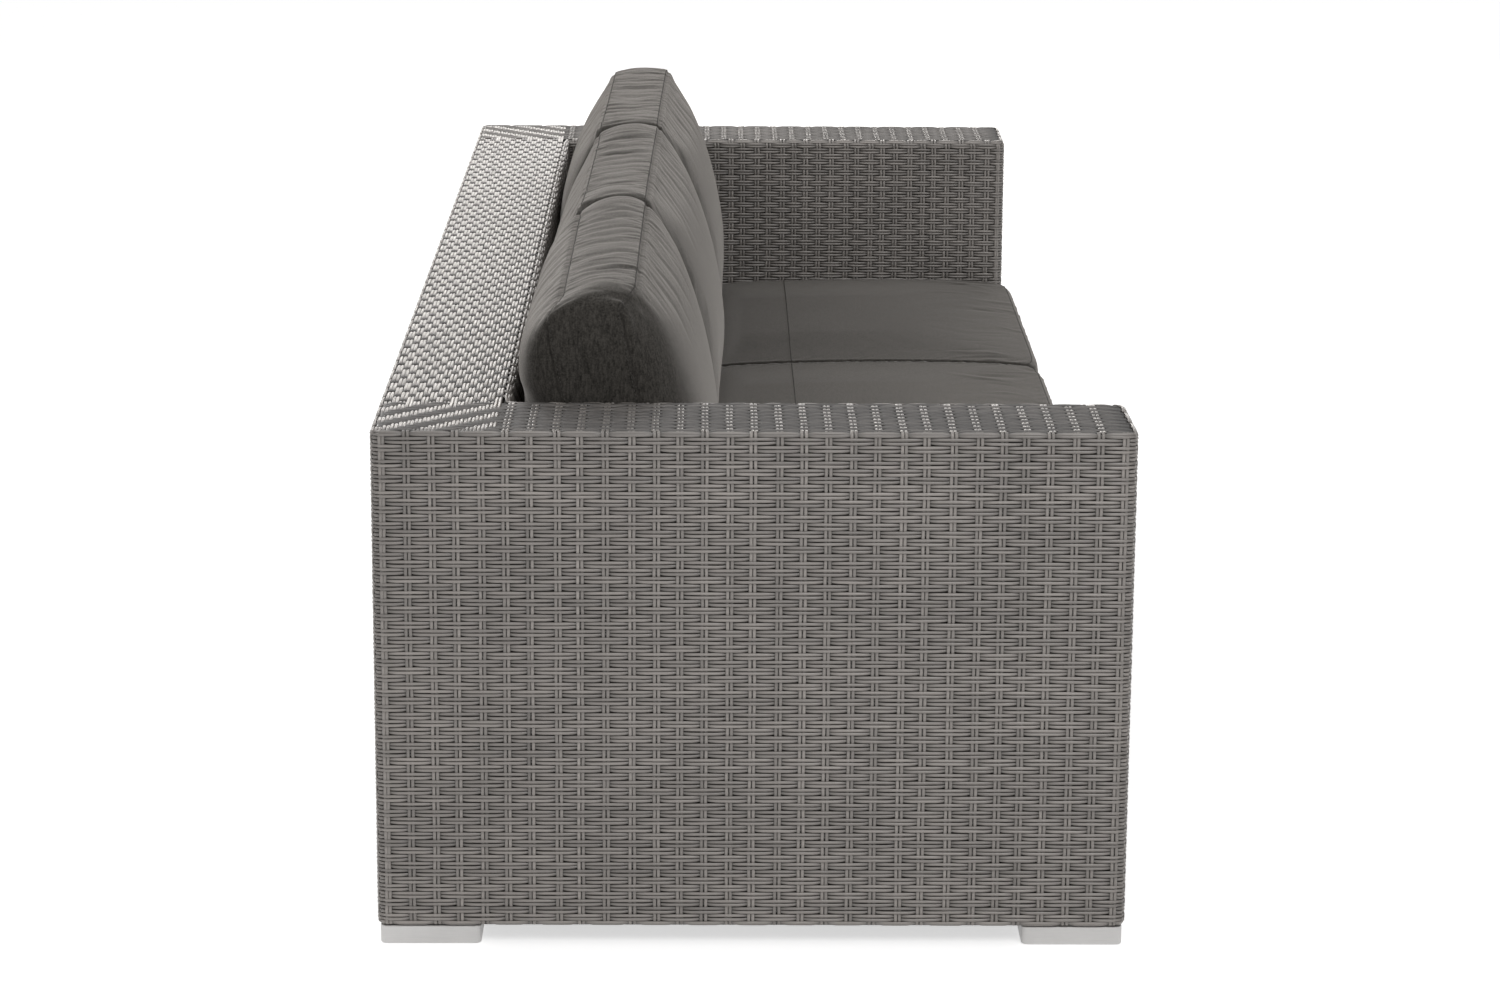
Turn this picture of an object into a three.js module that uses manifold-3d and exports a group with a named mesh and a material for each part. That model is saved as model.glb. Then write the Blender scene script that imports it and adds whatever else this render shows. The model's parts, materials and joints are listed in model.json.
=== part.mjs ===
// A three-seat garden sofa: a woven shell round a welded tube frame, on four flat feet, with
// three seat cushions and three back cushions that lift off.
// Millimetres. +X is the sitter's left, -Y the front, +Z up. The floor is at 0.

import * as THREE from 'three';
import { mergeVertices } from 'three/addons/utils/BufferGeometryUtils.js';
import Module from 'manifold-3d';

const wasm = await Module();
wasm.setup();

// Overall sizes
const overallWidth = 2230;
const bodyDepth = 840;
const armHeight = 592;
const armWidth = 155;
const backWidth = 148;
const deckHeight = 262;
const footHeight = 22;
const cushionOverhang = 15;

// Gap between pieces that touch, overrun of a cutter past what it cuts, and vertex welding distance
const clearance = 0.3;
const overrun = 2;
const weldDistance = 0.001;

// Woven skin
const weaveThickness = 5;
const cornerRadius = 14;
const topEdgeRadius = 11;
const bottomEdgeRadius = 6;
const returnWidth = 26;
const skirtDrop = 30;
const ledgeWidth = 46;

// Seat webbing: straps both ways, with square gaps between them
const webbingThickness = 5;
const strapWidth = 60;
const strapPitch = 150;

// Square frame tube
const tubeSide = 25;
const tubeWall = 1.6;
const ventRadius = 4;
const bearerCount = 5;
const footPlateSide = 102;
const footPlateThickness = 4;
const weldNutRadius = 9;
const weldNutHeight = 10;

// Feet and glides
const footSide = 113;
const footInset = 4;
const footCornerRadius = 7;
const footEdgeChamfer = 0.8;
const footBossRadius = 18;
const glideRadius = 20;
const glideThickness = 4;
const glideProud = 1;
const glideChamfer = 1;
const headPocketRadius = 8;
const headPocketDepth = 8;

// Screws and bolts
const boltRadius = 4;
const headRadius = 6.5;
const headHeight = 5;
const nutHeight = 6;
const screwTip = 3;
const armBoltInset = 150;
const backBoltShares = [-0.75, -0.25, 0.25, 0.75];

// Cushions
const cushionCount = 3;
const cushionSideGap = 1.5;
const cushionBackGap = 1;
const coverThickness = 3;
const coreClearance = 0.5;
const seamRound = 10;

const seatCushionThickness = 100;
const seatCrown = 18;
const seatGussetPuff = 7;
const seatCornerDraw = 14;

const backCushionHeight = 345;
const backCushionThickness = 242;
const backGussetWidth = 88;
const backSeamInset = 36;
const backGussetTilt = 15;
const backGussetArch = 7;
const backCrown = 24;
const backFootRound = 26;

const zipLength = 440;
const zipWidth = 8;
const zipTapeThickness = 1.2;
const zipCoilRadius = 1.3;

// Planes and half sizes that follow from the sizes above
const frontY = (cushionOverhang - bodyDepth) / 2;
const rearY = frontY + bodyDepth;
const backFaceY = rearY - backWidth;
const halfWidth = overallWidth / 2;
const seatHalfWidth = halfWidth - armWidth;
const weaveBottom = footHeight;
const seatTubeTop = deckHeight - weaveThickness - clearance;
const seatTubeBottom = seatTubeTop - tubeSide;
const seatBoltZ = seatTubeTop - tubeSide / 2;

// The space that the frame fills inside the woven skin
const frameGap = weaveThickness + clearance;
const frameOuterX = halfWidth - frameGap;
const frameInnerX = seatHalfWidth + frameGap;
const frameFrontY = frontY + frameGap;
const frameRearY = rearY - frameGap;
const frameBackFaceY = backFaceY + frameGap;
const frameBottom = weaveBottom + frameGap;
const frameTop = armHeight - frameGap;

const footCentre = footInset + footSide / 2;

const rattan = new THREE.MeshStandardMaterial({ color: 0x7d7772, roughness: 0.55, metalness: 0 });
const webbing = new THREE.MeshStandardMaterial({ color: 0x4a4642, roughness: 0.8, metalness: 0 });
const frameMetal = new THREE.MeshStandardMaterial({ color: 0x6c6864, roughness: 0.5, metalness: 0.6 });
const brushedAluminium = new THREE.MeshStandardMaterial({ color: 0xc9c6c2, roughness: 0.35, metalness: 0.9 });
const zincSteel = new THREE.MeshStandardMaterial({ color: 0xa8a8a6, roughness: 0.4, metalness: 0.9 });
const glideRubber = new THREE.MeshStandardMaterial({ color: 0x2b2a29, roughness: 0.9, metalness: 0 });
const cushionFabric = new THREE.MeshStandardMaterial({ color: 0x6b6660, roughness: 0.95, metalness: 0 });
const cushionFoam = new THREE.MeshStandardMaterial({ color: 0xe8e4da, roughness: 1, metalness: 0 });
const zipPlastic = new THREE.MeshStandardMaterial({ color: 0x57534e, roughness: 0.6, metalness: 0 });

// A geometry as a solid that can be joined and cut. Triangles that welding closes up are dropped.
function solid(geometry) {
  const bare = new THREE.BufferGeometry();
  bare.setAttribute('position', geometry.getAttribute('position'));
  bare.setIndex(geometry.getIndex());
  const merged = mergeVertices(bare, weldDistance);
  const corners = merged.getIndex().array;
  const triangles = [];
  for (let i = 0; i < corners.length; i += 3) {
    const [a, b, c] = corners.subarray(i, i + 3);
    if (a !== b && b !== c && c !== a) triangles.push(a, b, c);
  }
  return new wasm.Manifold(new wasm.Mesh({
    numProp: 3,
    vertProperties: merged.getAttribute('position').array,
    triVerts: new Uint32Array(triangles),
  }));
}

// A solid as a named mesh of the scene
function piece(name, body, material) {
  const { vertProperties, triVerts } = body.getMesh();
  const geometry = new THREE.BufferGeometry();
  geometry.setAttribute('position', new THREE.BufferAttribute(vertProperties, 3));
  geometry.setIndex(new THREE.BufferAttribute(triVerts, 1));
  geometry.computeVertexNormals();
  const mesh = new THREE.Mesh(geometry, material);
  mesh.name = name;
  return mesh;
}

// A box between two values on each axis, in either order
function block(...ranges) {
  const size = ranges.map(([from, to]) => Math.abs(to - from));
  const middle = ranges.map(([from, to]) => (from + to) / 2);
  return solid(new THREE.BoxGeometry(...size).translate(...middle));
}

// A closed outline. Each corner is x, y and a radius, and every rounded corner is a right angle.
function outline(corners) {
  const shape = new THREE.Shape();
  corners.forEach(([x, y, radius = 0], i) => {
    const corner = new THREE.Vector2(x, y);
    const [fromX, fromY] = corners.at(i - 1);
    const [toX, toY] = corners[(i + 1) % corners.length];
    const before = new THREE.Vector2(fromX, fromY).sub(corner).setLength(radius);
    const after = new THREE.Vector2(toX, toY).sub(corner).setLength(radius);
    if (i === 0) shape.moveTo(x + before.x, y + before.y);
    else shape.lineTo(x + before.x, y + before.y);
    if (radius) {
      const centre = corner.clone().add(before).add(after);
      const start = after.clone().negate().angle();
      const end = before.clone().negate().angle();
      shape.absarc(centre.x, centre.y, radius, start, end, before.cross(after) > 0);
    }
  });
  return shape;
}

// An outline raised from one height to another, with its top and bottom edges rounded by bevel
function prism(shape, bottom, top, bevel = 0, bevelSegments = 1) {
  const geometry = new THREE.ExtrudeGeometry(shape, {
    depth: top - bottom - 2 * bevel,
    curveSegments: 4,
    bevelEnabled: bevel > 0,
    bevelThickness: bevel,
    bevelSize: bevel,
    bevelOffset: -bevel,
    bevelSegments,
  });
  return solid(geometry.translate(0, 0, bottom + bevel));
}

// An outline drawn in y and z, run along x between two values
function runAlongX(shape, from, to) {
  const options = { depth: to - from, curveSegments: 4, bevelEnabled: false };
  const geometry = new THREE.ExtrudeGeometry(shape, options);
  return solid(geometry.rotateZ(Math.PI / 2).rotateY(Math.PI / 2).translate(from, 0, 0));
}

// A round bar turned about its own axis: each station is a radius and a distance along it
function turned(stations, segments = 12) {
  const points = stations.map(([radius, along]) => new THREE.Vector2(radius, along));
  return solid(new THREE.LatheGeometry(points, segments).rotateX(Math.PI / 2));
}

function rod(radius, bottom, top, segments = 12) {
  return turned([[0, bottom], [radius, bottom], [radius, top], [0, top]], segments);
}

const joined = (bodies) => bodies.reduce((whole, body) => whole.add(body));
const cut = (body, tools) => tools.reduce((left, tool) => left.subtract(tool), body);

// The plan of the arms and back, a U open to the front, with its walls moved in by inset
function horseshoe(inset, round = 0) {
  const left = halfWidth - inset;
  const inner = seatHalfWidth + inset;
  const front = frontY + inset;
  const face = backFaceY + inset;
  const rear = rearY - inset;
  return outline([
    [-left, front, round], [-inner, front, round], [-inner, face], [inner, face],
    [inner, front, round], [left, front, round], [left, rear, round], [-left, rear, round],
  ]);
}

// Weave over the arms and back as one shell. It folds under the frame at the floor, and behind
// the seat it stops a little below the deck.
function wovenShell() {
  const plan = horseshoe(0, cornerRadius);
  const rounded = prism(plan, weaveBottom - cornerRadius, armHeight, topEdgeRadius, 3)
    .intersect(prism(plan, weaveBottom, armHeight + cornerRadius, bottomEdgeRadius, 2));
  const foldTop = weaveBottom + weaveThickness;
  const hollow = prism(horseshoe(weaveThickness), foldTop, armHeight - weaveThickness);
  const underside = prism(horseshoe(weaveThickness + returnWidth), weaveBottom - overrun, foldTop + overrun);
  const foldX = seatHalfWidth + weaveThickness + returnWidth;
  const belowSeat = block(
    [-foldX, foldX],
    [frontY + weaveThickness, backFaceY + weaveThickness + returnWidth],
    [weaveBottom - overrun, deckHeight - skirtDrop],
  );
  return cut(rounded, [hollow, underside, belowSeat, ...seatBoltHoles()]);
}

// A point of the mitre between an arm and the back: 0 at the inner corner, 1 at the outer one.
// The line is moved by half a clearance, to the back for +1 and to the arm for -1.
function mitrePoint(side, along, towards) {
  const run = new THREE.Vector2(-armWidth, backWidth);
  const shift = new THREE.Vector2(backWidth, armWidth).setLength(towards * clearance / 2);
  const point = new THREE.Vector2(-seatHalfWidth, backFaceY).addScaledVector(run, along).add(shift);
  return [-side * point.x, point.y];
}

const mitreReach = 0.4;

function armRegion(side) {
  const outer = side * (halfWidth + armWidth);
  const inner = mitrePoint(side, -mitreReach, -1);
  const front = frontY - armWidth;
  return prism(outline([
    inner, mitrePoint(side, 1 + mitreReach, -1), [outer, front], [inner[0], front],
  ]), weaveBottom - cornerRadius, armHeight + cornerRadius);
}

function backRegion() {
  return prism(outline([
    mitrePoint(-1, -mitreReach, 1), mitrePoint(-1, 1 + mitreReach, 1),
    mitrePoint(1, 1 + mitreReach, 1), mitrePoint(1, -mitreReach, 1),
  ]), weaveBottom - cornerRadius, armHeight + cornerRadius);
}

// Weave on the front below the cushions: it folds under at the floor and back over the front rail
function apronWeave() {
  const fold = frontY + returnWidth;
  const inside = frontY + weaveThickness;
  const ledge = frontY + ledgeWidth;
  const section = outline([
    [frontY, weaveBottom, bottomEdgeRadius], [fold, weaveBottom], [fold, weaveBottom + weaveThickness],
    [inside, weaveBottom + weaveThickness], [inside, deckHeight - weaveThickness],
    [ledge, deckHeight - weaveThickness], [ledge, deckHeight], [frontY, deckHeight, topEdgeRadius],
  ]);
  const reach = seatHalfWidth - clearance;
  return runAlongX(section, -reach, reach);
}

// Straps both ways under the cushions, sewn together where they cross
function seatWebbing() {
  const reachX = seatHalfWidth - clearance;
  const reachY = (backFaceY - frontY - ledgeWidth) / 2 - clearance;
  const middleY = (backFaceY + frontY + ledgeWidth) / 2;
  const strapLines = (reach) => {
    const gaps = Math.round((2 * reach - strapWidth) / strapPitch);
    return Array.from({ length: gaps + 1 }, (_, i) => (reach - strapWidth / 2) * (2 * i / gaps - 1));
  };
  const around = (line) => [line - strapWidth / 2, line + strapWidth / 2];
  const level = [deckHeight - webbingThickness, deckHeight];
  return joined([
    ...strapLines(reachX).map((x) => block(around(x), [-reachY, reachY], level)),
    ...strapLines(reachY).map((y) => block([-reachX, reachX], around(y), level)),
  ]).translate([0, middleY, 0]);
}

// Square tubes welded where they cross. Each tube is the box that it fills; the bores run into
// one another and breathe through one vent hole.
function weldedFrame(tubes, vent, extras = []) {
  const bores = tubes.map((ranges) => block(...ranges.map(([from, to]) => {
    const inward = Math.sign(to - from) * tubeWall;
    return [from + inward, to - inward];
  })));
  return cut(joined([...tubes.map((ranges) => block(...ranges)), ...extras]), [...bores, vent]);
}

function ventHole(x, y) {
  return rod(ventRadius, frameBottom - overrun, frameBottom + tubeWall + overrun).translate(x, y, 0);
}

// Box frame inside an arm, with a plate and weld nut over each foot
function armFrame(side) {
  const outerX = [side * frameOuterX, side * (frameOuterX - tubeSide)];
  const innerX = [side * frameInnerX, side * (frameInnerX + tubeSide)];
  const acrossX = [side * frameInnerX, side * frameOuterX];
  const frontPost = [frameFrontY, frameFrontY + tubeSide];
  const rearPost = [frameRearY - tubeSide, frameRearY];
  const middlePost = [-tubeSide / 2, tubeSide / 2].map((offset) => (frontY + rearY) / 2 + offset);
  const alongY = [frameFrontY, frameRearY];
  const upright = [frameBottom, frameTop];
  const bottomRail = [frameBottom, frameBottom + tubeSide];
  const topRail = [frameTop - tubeSide, frameTop];
  const seatRail = [seatTubeBottom, seatTubeTop];
  const tubes = [
    [outerX, alongY, bottomRail], [outerX, alongY, topRail], [innerX, alongY, topRail],
    [innerX, alongY, seatRail],
    [outerX, frontPost, upright], [outerX, middlePost, upright], [outerX, rearPost, upright],
    [innerX, frontPost, upright], [innerX, rearPost, upright],
    [acrossX, frontPost, bottomRail], [acrossX, frontPost, topRail], [acrossX, middlePost, topRail],
    [acrossX, rearPost, bottomRail], [acrossX, rearPost, topRail],
  ];
  const plateX = [side * frameOuterX, side * (frameOuterX - footPlateSide)];
  const plateZ = [frameBottom, frameBottom + footPlateThickness];
  const footX = side * (halfWidth - footCentre);
  const footPlaces = [frontY + footCentre, rearY - footCentre];
  const plates = [
    block(plateX, [frameFrontY, frameFrontY + footPlateSide], plateZ),
    block(plateX, [frameRearY - footPlateSide, frameRearY], plateZ),
  ];
  const nutTop = plateZ[1] + weldNutHeight;
  const nuts = footPlaces.map((y) => rod(weldNutRadius, frameBottom, nutTop).translate(footX, y, 0));
  const threads = footPlaces.map((y) => rod(boltRadius + clearance, frameBottom - overrun, nutTop + overrun)
    .translate(footX, y, 0));
  const vent = ventHole(side * (frameInnerX + tubeSide / 2), frameFrontY + tubeSide / 2);
  return cut(weldedFrame(tubes, vent, [...plates, ...nuts]), [...threads, ...seatBoltHoles()]);
}

// Box frame inside the back, between the two arm frames
function backFrame() {
  const reach = frameInnerX - clearance;
  const alongX = [-reach, reach];
  const rearLine = [frameRearY - tubeSide, frameRearY];
  const faceLine = [frameBackFaceY, frameBackFaceY + tubeSide];
  const acrossY = [frameBackFaceY, frameRearY];
  const bottomRail = [frameBottom, frameBottom + tubeSide];
  const topRail = [frameTop - tubeSide, frameTop];
  const seatRail = [seatTubeBottom, seatTubeTop];
  const posts = [[-reach, tubeSide - reach], [-tubeSide / 2, tubeSide / 2], [reach - tubeSide, reach]];
  const tubes = [
    [alongX, rearLine, bottomRail], [alongX, rearLine, topRail],
    [alongX, faceLine, topRail], [alongX, faceLine, seatRail],
    ...posts.flatMap((postX) => [
      [postX, rearLine, [frameBottom, frameTop]],
      [postX, faceLine, [seatTubeBottom, frameTop]],
      [postX, acrossY, topRail],
      [postX, acrossY, seatRail],
    ]),
  ];
  const vent = ventHole(0, frameRearY - tubeSide / 2);
  return cut(weldedFrame(tubes, vent), seatBoltHoles());
}

// Ladder frame behind the front weave
function seatFrontFrame() {
  const reach = seatHalfWidth - clearance;
  const line = [frameFrontY, frameFrontY + tubeSide];
  const posts = [[-reach, tubeSide - reach], [-tubeSide / 2, tubeSide / 2], [reach - tubeSide, reach]];
  const tubes = [
    [[-reach, reach], line, [seatTubeBottom, seatTubeTop]],
    [[-reach, reach], line, [frameBottom, frameBottom + tubeSide]],
    ...posts.map((postX) => [postX, line, [frameBottom, seatTubeTop]]),
  ];
  return weldedFrame(tubes, ventHole(0, frameFrontY + tubeSide / 2));
}

// An open-ended square tube of the seat frame, between two values on x and on y
function seatTube(rangeX, rangeY) {
  const alongX = Math.abs(rangeX[1] - rangeX[0]) > Math.abs(rangeY[1] - rangeY[0]);
  const shrunk = ([from, to]) => [from + tubeWall, to - tubeWall];
  const grown = ([from, to]) => [from - overrun, to + overrun];
  const bore = block(
    alongX ? grown(rangeX) : shrunk(rangeX),
    alongX ? shrunk(rangeY) : grown(rangeY),
    shrunk([seatTubeBottom, seatTubeTop]),
  );
  return cut(block(rangeX, rangeY, [seatTubeBottom, seatTubeTop]), [bore, ...seatBoltHoles()]);
}

const seatRearRailY = [backFaceY - clearance - tubeSide, backFaceY - clearance];
const bearerY = [frameFrontY + tubeSide + clearance, seatRearRailY[0] - clearance];

function bearerPlaces() {
  const reach = seatHalfWidth - clearance - tubeSide / 2;
  return Array.from({ length: bearerCount }, (_, i) => reach * (2 * i / (bearerCount - 1) - 1));
}

// Where the seat frame is bolted on: across into each arm frame, and back into the back frame.
// A bolt's near end is the face under its head, on the seat frame; its far end is under its nut.
const boltSpan = 2 * tubeSide + weaveThickness + 2 * clearance;

function armBoltPlaces() {
  return [-1, 1].flatMap((side) => ['front', 'rear'].map((end) => ({
    name: `${side < 0 ? 'right' : 'left'}_${end}`,
    turn: [0, side * Math.PI / 2, 0],
    place: [
      side * (seatHalfWidth - clearance - tubeSide),
      end === 'front' ? bearerY[0] + armBoltInset : bearerY[1] - armBoltInset,
      seatBoltZ,
    ],
  })));
}

function backBoltPlaces() {
  return backBoltShares.map((share, i) => ({
    name: `back_${i + 1}`,
    turn: [-Math.PI / 2, 0, 0],
    place: [share * seatHalfWidth, seatRearRailY[0], seatBoltZ],
  }));
}

const degrees = ([x, y, z]) => [x, y, z].map(THREE.MathUtils.radToDeg);

function placed(body, { turn, place }) {
  return body.rotate(degrees(turn)).translate(place);
}

function seatBoltHoles() {
  const drill = rod(boltRadius + clearance, -overrun, boltSpan + overrun, 10);
  return [...armBoltPlaces(), ...backBoltPlaces()].map((spot) => placed(drill, spot));
}

// Bolt with its nut: the head stands clear of the near face and the nut of the far one
function seatBolt() {
  const under = -clearance;
  const nutFace = boltSpan + clearance;
  return turned([
    [0, under - headHeight], [headRadius, under - headHeight], [headRadius, under], [boltRadius, under],
    [boltRadius, nutFace], [headRadius, nutFace], [headRadius, nutFace + nutHeight],
    [boltRadius, nutFace + nutHeight], [boltRadius, nutFace + nutHeight + screwTip],
    [0, nutFace + nutHeight + screwTip],
  ], 10);
}

const pocketTop = glideThickness + headPocketDepth;

// Flat block foot, with a boss that meets the frame plate through the fold of the weave, a screw
// hole with a pocket for the head, and a round seat for the glide
function foot() {
  const half = footSide / 2;
  const plan = outline([
    [-half, -half, footCornerRadius], [half, -half, footCornerRadius],
    [half, half, footCornerRadius], [-half, half, footCornerRadius],
  ]);
  const boss = rod(footBossRadius, footHeight - clearance - overrun, frameBottom - clearance, 16);
  const slab = prism(plan, glideProud, footHeight - clearance, footEdgeChamfer);
  return cut(slab.add(boss), [
    rod(boltRadius + clearance, 0, frameBottom),
    rod(headPocketRadius, 0, pocketTop),
    rod(glideRadius + clearance, 0, glideThickness, 16),
  ]);
}

function glide() {
  return turned([
    [0, 0], [glideRadius - glideChamfer, 0], [glideRadius, glideChamfer],
    [glideRadius, glideThickness - clearance], [0, glideThickness - clearance],
  ], 16);
}

function footScrew() {
  const under = pocketTop - clearance;
  const tip = frameBottom + footPlateThickness + weldNutHeight + screwTip;
  return turned([
    [0, under - headHeight], [headRadius, under - headHeight], [headRadius, under],
    [boltRadius, under], [boltRadius, tip], [0, tip],
  ]);
}

// A cushion's place among three across the seat, and the half width that leaves its gaps
const cushionPitch = 2 * (seatHalfWidth - cushionSideGap) / cushionCount;
const cushionHalf = (cushionPitch - cushionSideGap) / 2;
const middleCushion = (cushionCount - 1) / 2;
const cushionPlaces = Array.from({ length: cushionCount }, (_, i) => (i - middleCushion) * cushionPitch);

const seatBottomZ = deckHeight + clearance;
const seatSeamZ = deckHeight + seatCushionThickness;
const cushionRearY = backFaceY - cushionBackGap;
const backBottomZ = seatSeamZ + clearance;
const backSeamY = cushionRearY - backSeamInset;
const frontSeamY = backSeamY - backGussetWidth;
const backFrontY = cushionRearY - backCushionThickness;

// Section of a seat cushion across its depth. The top crowns in front of the back cushions and
// lies flat under them; front and rear bands swell past their seams.
const crownPullShare = 0.3;

function seatSection(along, divisions) {
  const crown = seatCrown * (1 - Math.abs(along) ** 3) * 4 / 3;
  const drawn = seatCornerDraw * Math.abs(along) ** 16;
  const front = frontY - cushionOverhang + drawn;
  const rear = cushionRearY - drawn;
  const frontSeam = front + seatGussetPuff;
  const rearSeam = rear - seatGussetPuff;
  const middle = (seatBottomZ + seatSeamZ) / 2;
  const pull = (backFrontY - frontSeam) * crownPullShare;
  const shape = new THREE.Shape();
  shape.moveTo(rearSeam, seatBottomZ);
  shape.lineTo(frontSeam, seatBottomZ);
  shape.quadraticCurveTo(front - seatGussetPuff, middle, frontSeam, seatSeamZ);
  const crownZ = seatSeamZ + crown;
  shape.bezierCurveTo(frontSeam + pull, crownZ, backFrontY - pull, crownZ, backFrontY, seatSeamZ);
  shape.lineTo(rearSeam, seatSeamZ);
  shape.quadraticCurveTo(rear + seatGussetPuff, middle, rearSeam, seatBottomZ);
  return shape.getPoints(divisions);
}

// Section of a back cushion across its thickness. At its ends only the side band is left; between
// them the front and rear panels swell out from the band's seams, and the weight settles low.
const shoulderShare = 0.62;
const rearBendShare = 0.55;
const endFootShare = 0.6;

function backSection(along, divisions) {
  const fullness = Math.sqrt(1 - Math.abs(along) ** 4);
  const front = frontSeamY - (frontSeamY - backFrontY) * fullness;
  const rear = backSeamY + backSeamInset * fullness;
  const foot = backFootRound * THREE.MathUtils.lerp(endFootShare, 1, fullness);
  const seam = backBottomZ + backCushionHeight + backCrown * fullness;
  const rearSeam = seam - backGussetTilt;
  const shoulder = backBottomZ + backCushionHeight * shoulderShare;
  const bend = backBottomZ + backCushionHeight * rearBendShare;
  const archY = (frontSeamY + backSeamY) / 2;
  const shape = new THREE.Shape();
  shape.moveTo(rear - foot, backBottomZ);
  shape.lineTo(front + foot, backBottomZ);
  shape.quadraticCurveTo(front, backBottomZ, front, backBottomZ + backFootRound);
  shape.bezierCurveTo(front, shoulder, front + (frontSeamY - front) / 2, seam, frontSeamY, seam);
  shape.quadraticCurveTo(archY, seam + 2 * backGussetArch, backSeamY, rearSeam);
  shape.bezierCurveTo(backSeamY + (rear - backSeamY) / 2, rearSeam, rear, (rearSeam + bend) / 2, rear, bend);
  shape.lineTo(rear, backBottomZ + backFootRound);
  shape.quadraticCurveTo(rear, backBottomZ, rear - foot, backBottomZ);
  return shape.getPoints(divisions);
}

// An outline's points moved in along their normals. The outline is closed and runs clockwise.
function insetPoints(points, inset) {
  return points.map((point, i) => {
    const before = point.clone().sub(points.at(i - 1)).normalize();
    const after = points[(i + 1) % points.length].clone().sub(point).normalize();
    const normal = new THREE.Vector2(before.y + after.y, -before.x - after.x).normalize();
    const reach = inset / Math.max(normal.dot(new THREE.Vector2(after.y, -after.x)), 0.5);
    return point.clone().addScaledVector(normal, reach);
  });
}

// A skin through rings of as many points each, closed by a fan over the first and last ring
function loft(rings) {
  const size = rings[0].length;
  const triangles = [];
  for (let ring = 0; ring < rings.length - 1; ring++) {
    for (let i = 0; i < size; i++) {
      const a = ring * size + i;
      const b = ring * size + (i + 1) % size;
      triangles.push(a, b + size, b, a, a + size, b + size);
    }
  }
  const last = (rings.length - 1) * size;
  for (let i = 1; i < size - 1; i++) {
    triangles.push(0, i, i + 1, last, last + i + 1, last + i);
  }
  const geometry = new THREE.BufferGeometry();
  geometry.setAttribute('position', new THREE.Float32BufferAttribute(rings.flat(2), 3));
  geometry.setIndex(triangles);
  return solid(geometry);
}

const fineStationShares = [0, 0.4, 0.68, 0.85];
const coarseStationShares = [0, 0.6];
const roundStationShares = [1, 0.3, 0];

// A cushion's form: its section swept across its width, with rounded ends, all moved in by shrink
function cushionForm(section, shrink, fine) {
  const half = cushionHalf - shrink;
  const ends = roundStationShares.map((share) => half - seamRound * share);
  const inner = (fine ? fineStationShares : coarseStationShares).map((share) => half * share);
  const rightHalf = [...inner, ...ends];
  const stations = [...rightHalf.slice(1).reverse().map((x) => -x), ...rightHalf];
  const rings = stations.map((x) => {
    const points = section(x / half, fine ? 4 : 2);
    const closed = points.at(-1).distanceTo(points[0]) < weldDistance ? points.slice(0, -1) : points;
    const fromEnd = Math.min(half - Math.abs(x), seamRound);
    const round = seamRound - Math.sqrt(seamRound ** 2 - (seamRound - fromEnd) ** 2);
    return insetPoints(closed, shrink + round).map((point) => [x, point.x, point.y]);
  });
  return loft(rings);
}

// Cover with a zip slot, its filling and its zip. The zip lies flat in the slot, its coil outward.
function cushionPieces(name, x, section, slotY, slotZ, zipTurn) {
  const group = new THREE.Group();
  const slotHalf = zipWidth / 2 + clearance;
  const slotDepth = [-coverThickness - overrun, overrun];
  const slot = block([-zipLength / 2, zipLength / 2], [-slotHalf, slotHalf], slotDepth)
    .rotate([zipTurn, 0, 0]).translate([0, slotY, slotZ]);
  const cover = cut(cushionForm(section, 0, true), [cushionForm(section, coverThickness, false), slot]);
  const core = cushionForm(section, coverThickness + coreClearance, false);
  group.add(piece(`${name}_cover`, cover, cushionFabric));
  group.add(piece(`${name}_core`, core, cushionFoam));
  group.add(piece(`${name}_zip`, zip().rotate([zipTurn, 0, 0]).translate([0, slotY, slotZ]), zipPlastic));
  group.position.x = x;
  return group;
}

// Zip tape with a half-round coil along its middle
function zip() {
  const half = zipWidth / 2;
  const floor = clearance - coverThickness;
  const top = floor + zipTapeThickness;
  const shape = new THREE.Shape();
  shape.moveTo(-half, floor);
  shape.lineTo(half, floor);
  shape.lineTo(half, top);
  shape.absarc(0, top, zipCoilRadius, 0, Math.PI, false);
  shape.lineTo(-half, top);
  const reach = zipLength / 2 - clearance;
  return runAlongX(shape, -reach, reach);
}

function wovenGroup() {
  const group = new THREE.Group();
  const shell = wovenShell();
  group.add(piece('arm_weave_right', shell.intersect(armRegion(-1)), rattan));
  group.add(piece('arm_weave_left', shell.intersect(armRegion(1)), rattan));
  group.add(piece('back_weave', shell.intersect(backRegion()), rattan));
  group.add(piece('front_weave', apronWeave(), rattan));
  group.add(piece('seat_webbing', seatWebbing(), webbing));
  return group;
}

function frameGroup() {
  const group = new THREE.Group();
  const railX = [clearance - seatHalfWidth, seatHalfWidth - clearance];
  group.add(piece('arm_frame_right', armFrame(-1), frameMetal));
  group.add(piece('arm_frame_left', armFrame(1), frameMetal));
  group.add(piece('back_frame', backFrame(), frameMetal));
  group.add(piece('seat_front_frame', seatFrontFrame(), frameMetal));
  group.add(piece('seat_rear_rail', seatTube(railX, seatRearRailY), frameMetal));
  bearerPlaces().forEach((x, i) => {
    const bearer = seatTube([x - tubeSide / 2, x + tubeSide / 2], bearerY);
    group.add(piece(`seat_bearer_${i + 1}`, bearer, frameMetal));
  });
  [...armBoltPlaces(), ...backBoltPlaces()].forEach((spot) => {
    group.add(piece(`seat_bolt_${spot.name}`, placed(seatBolt(), spot), zincSteel));
  });
  return group;
}

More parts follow.
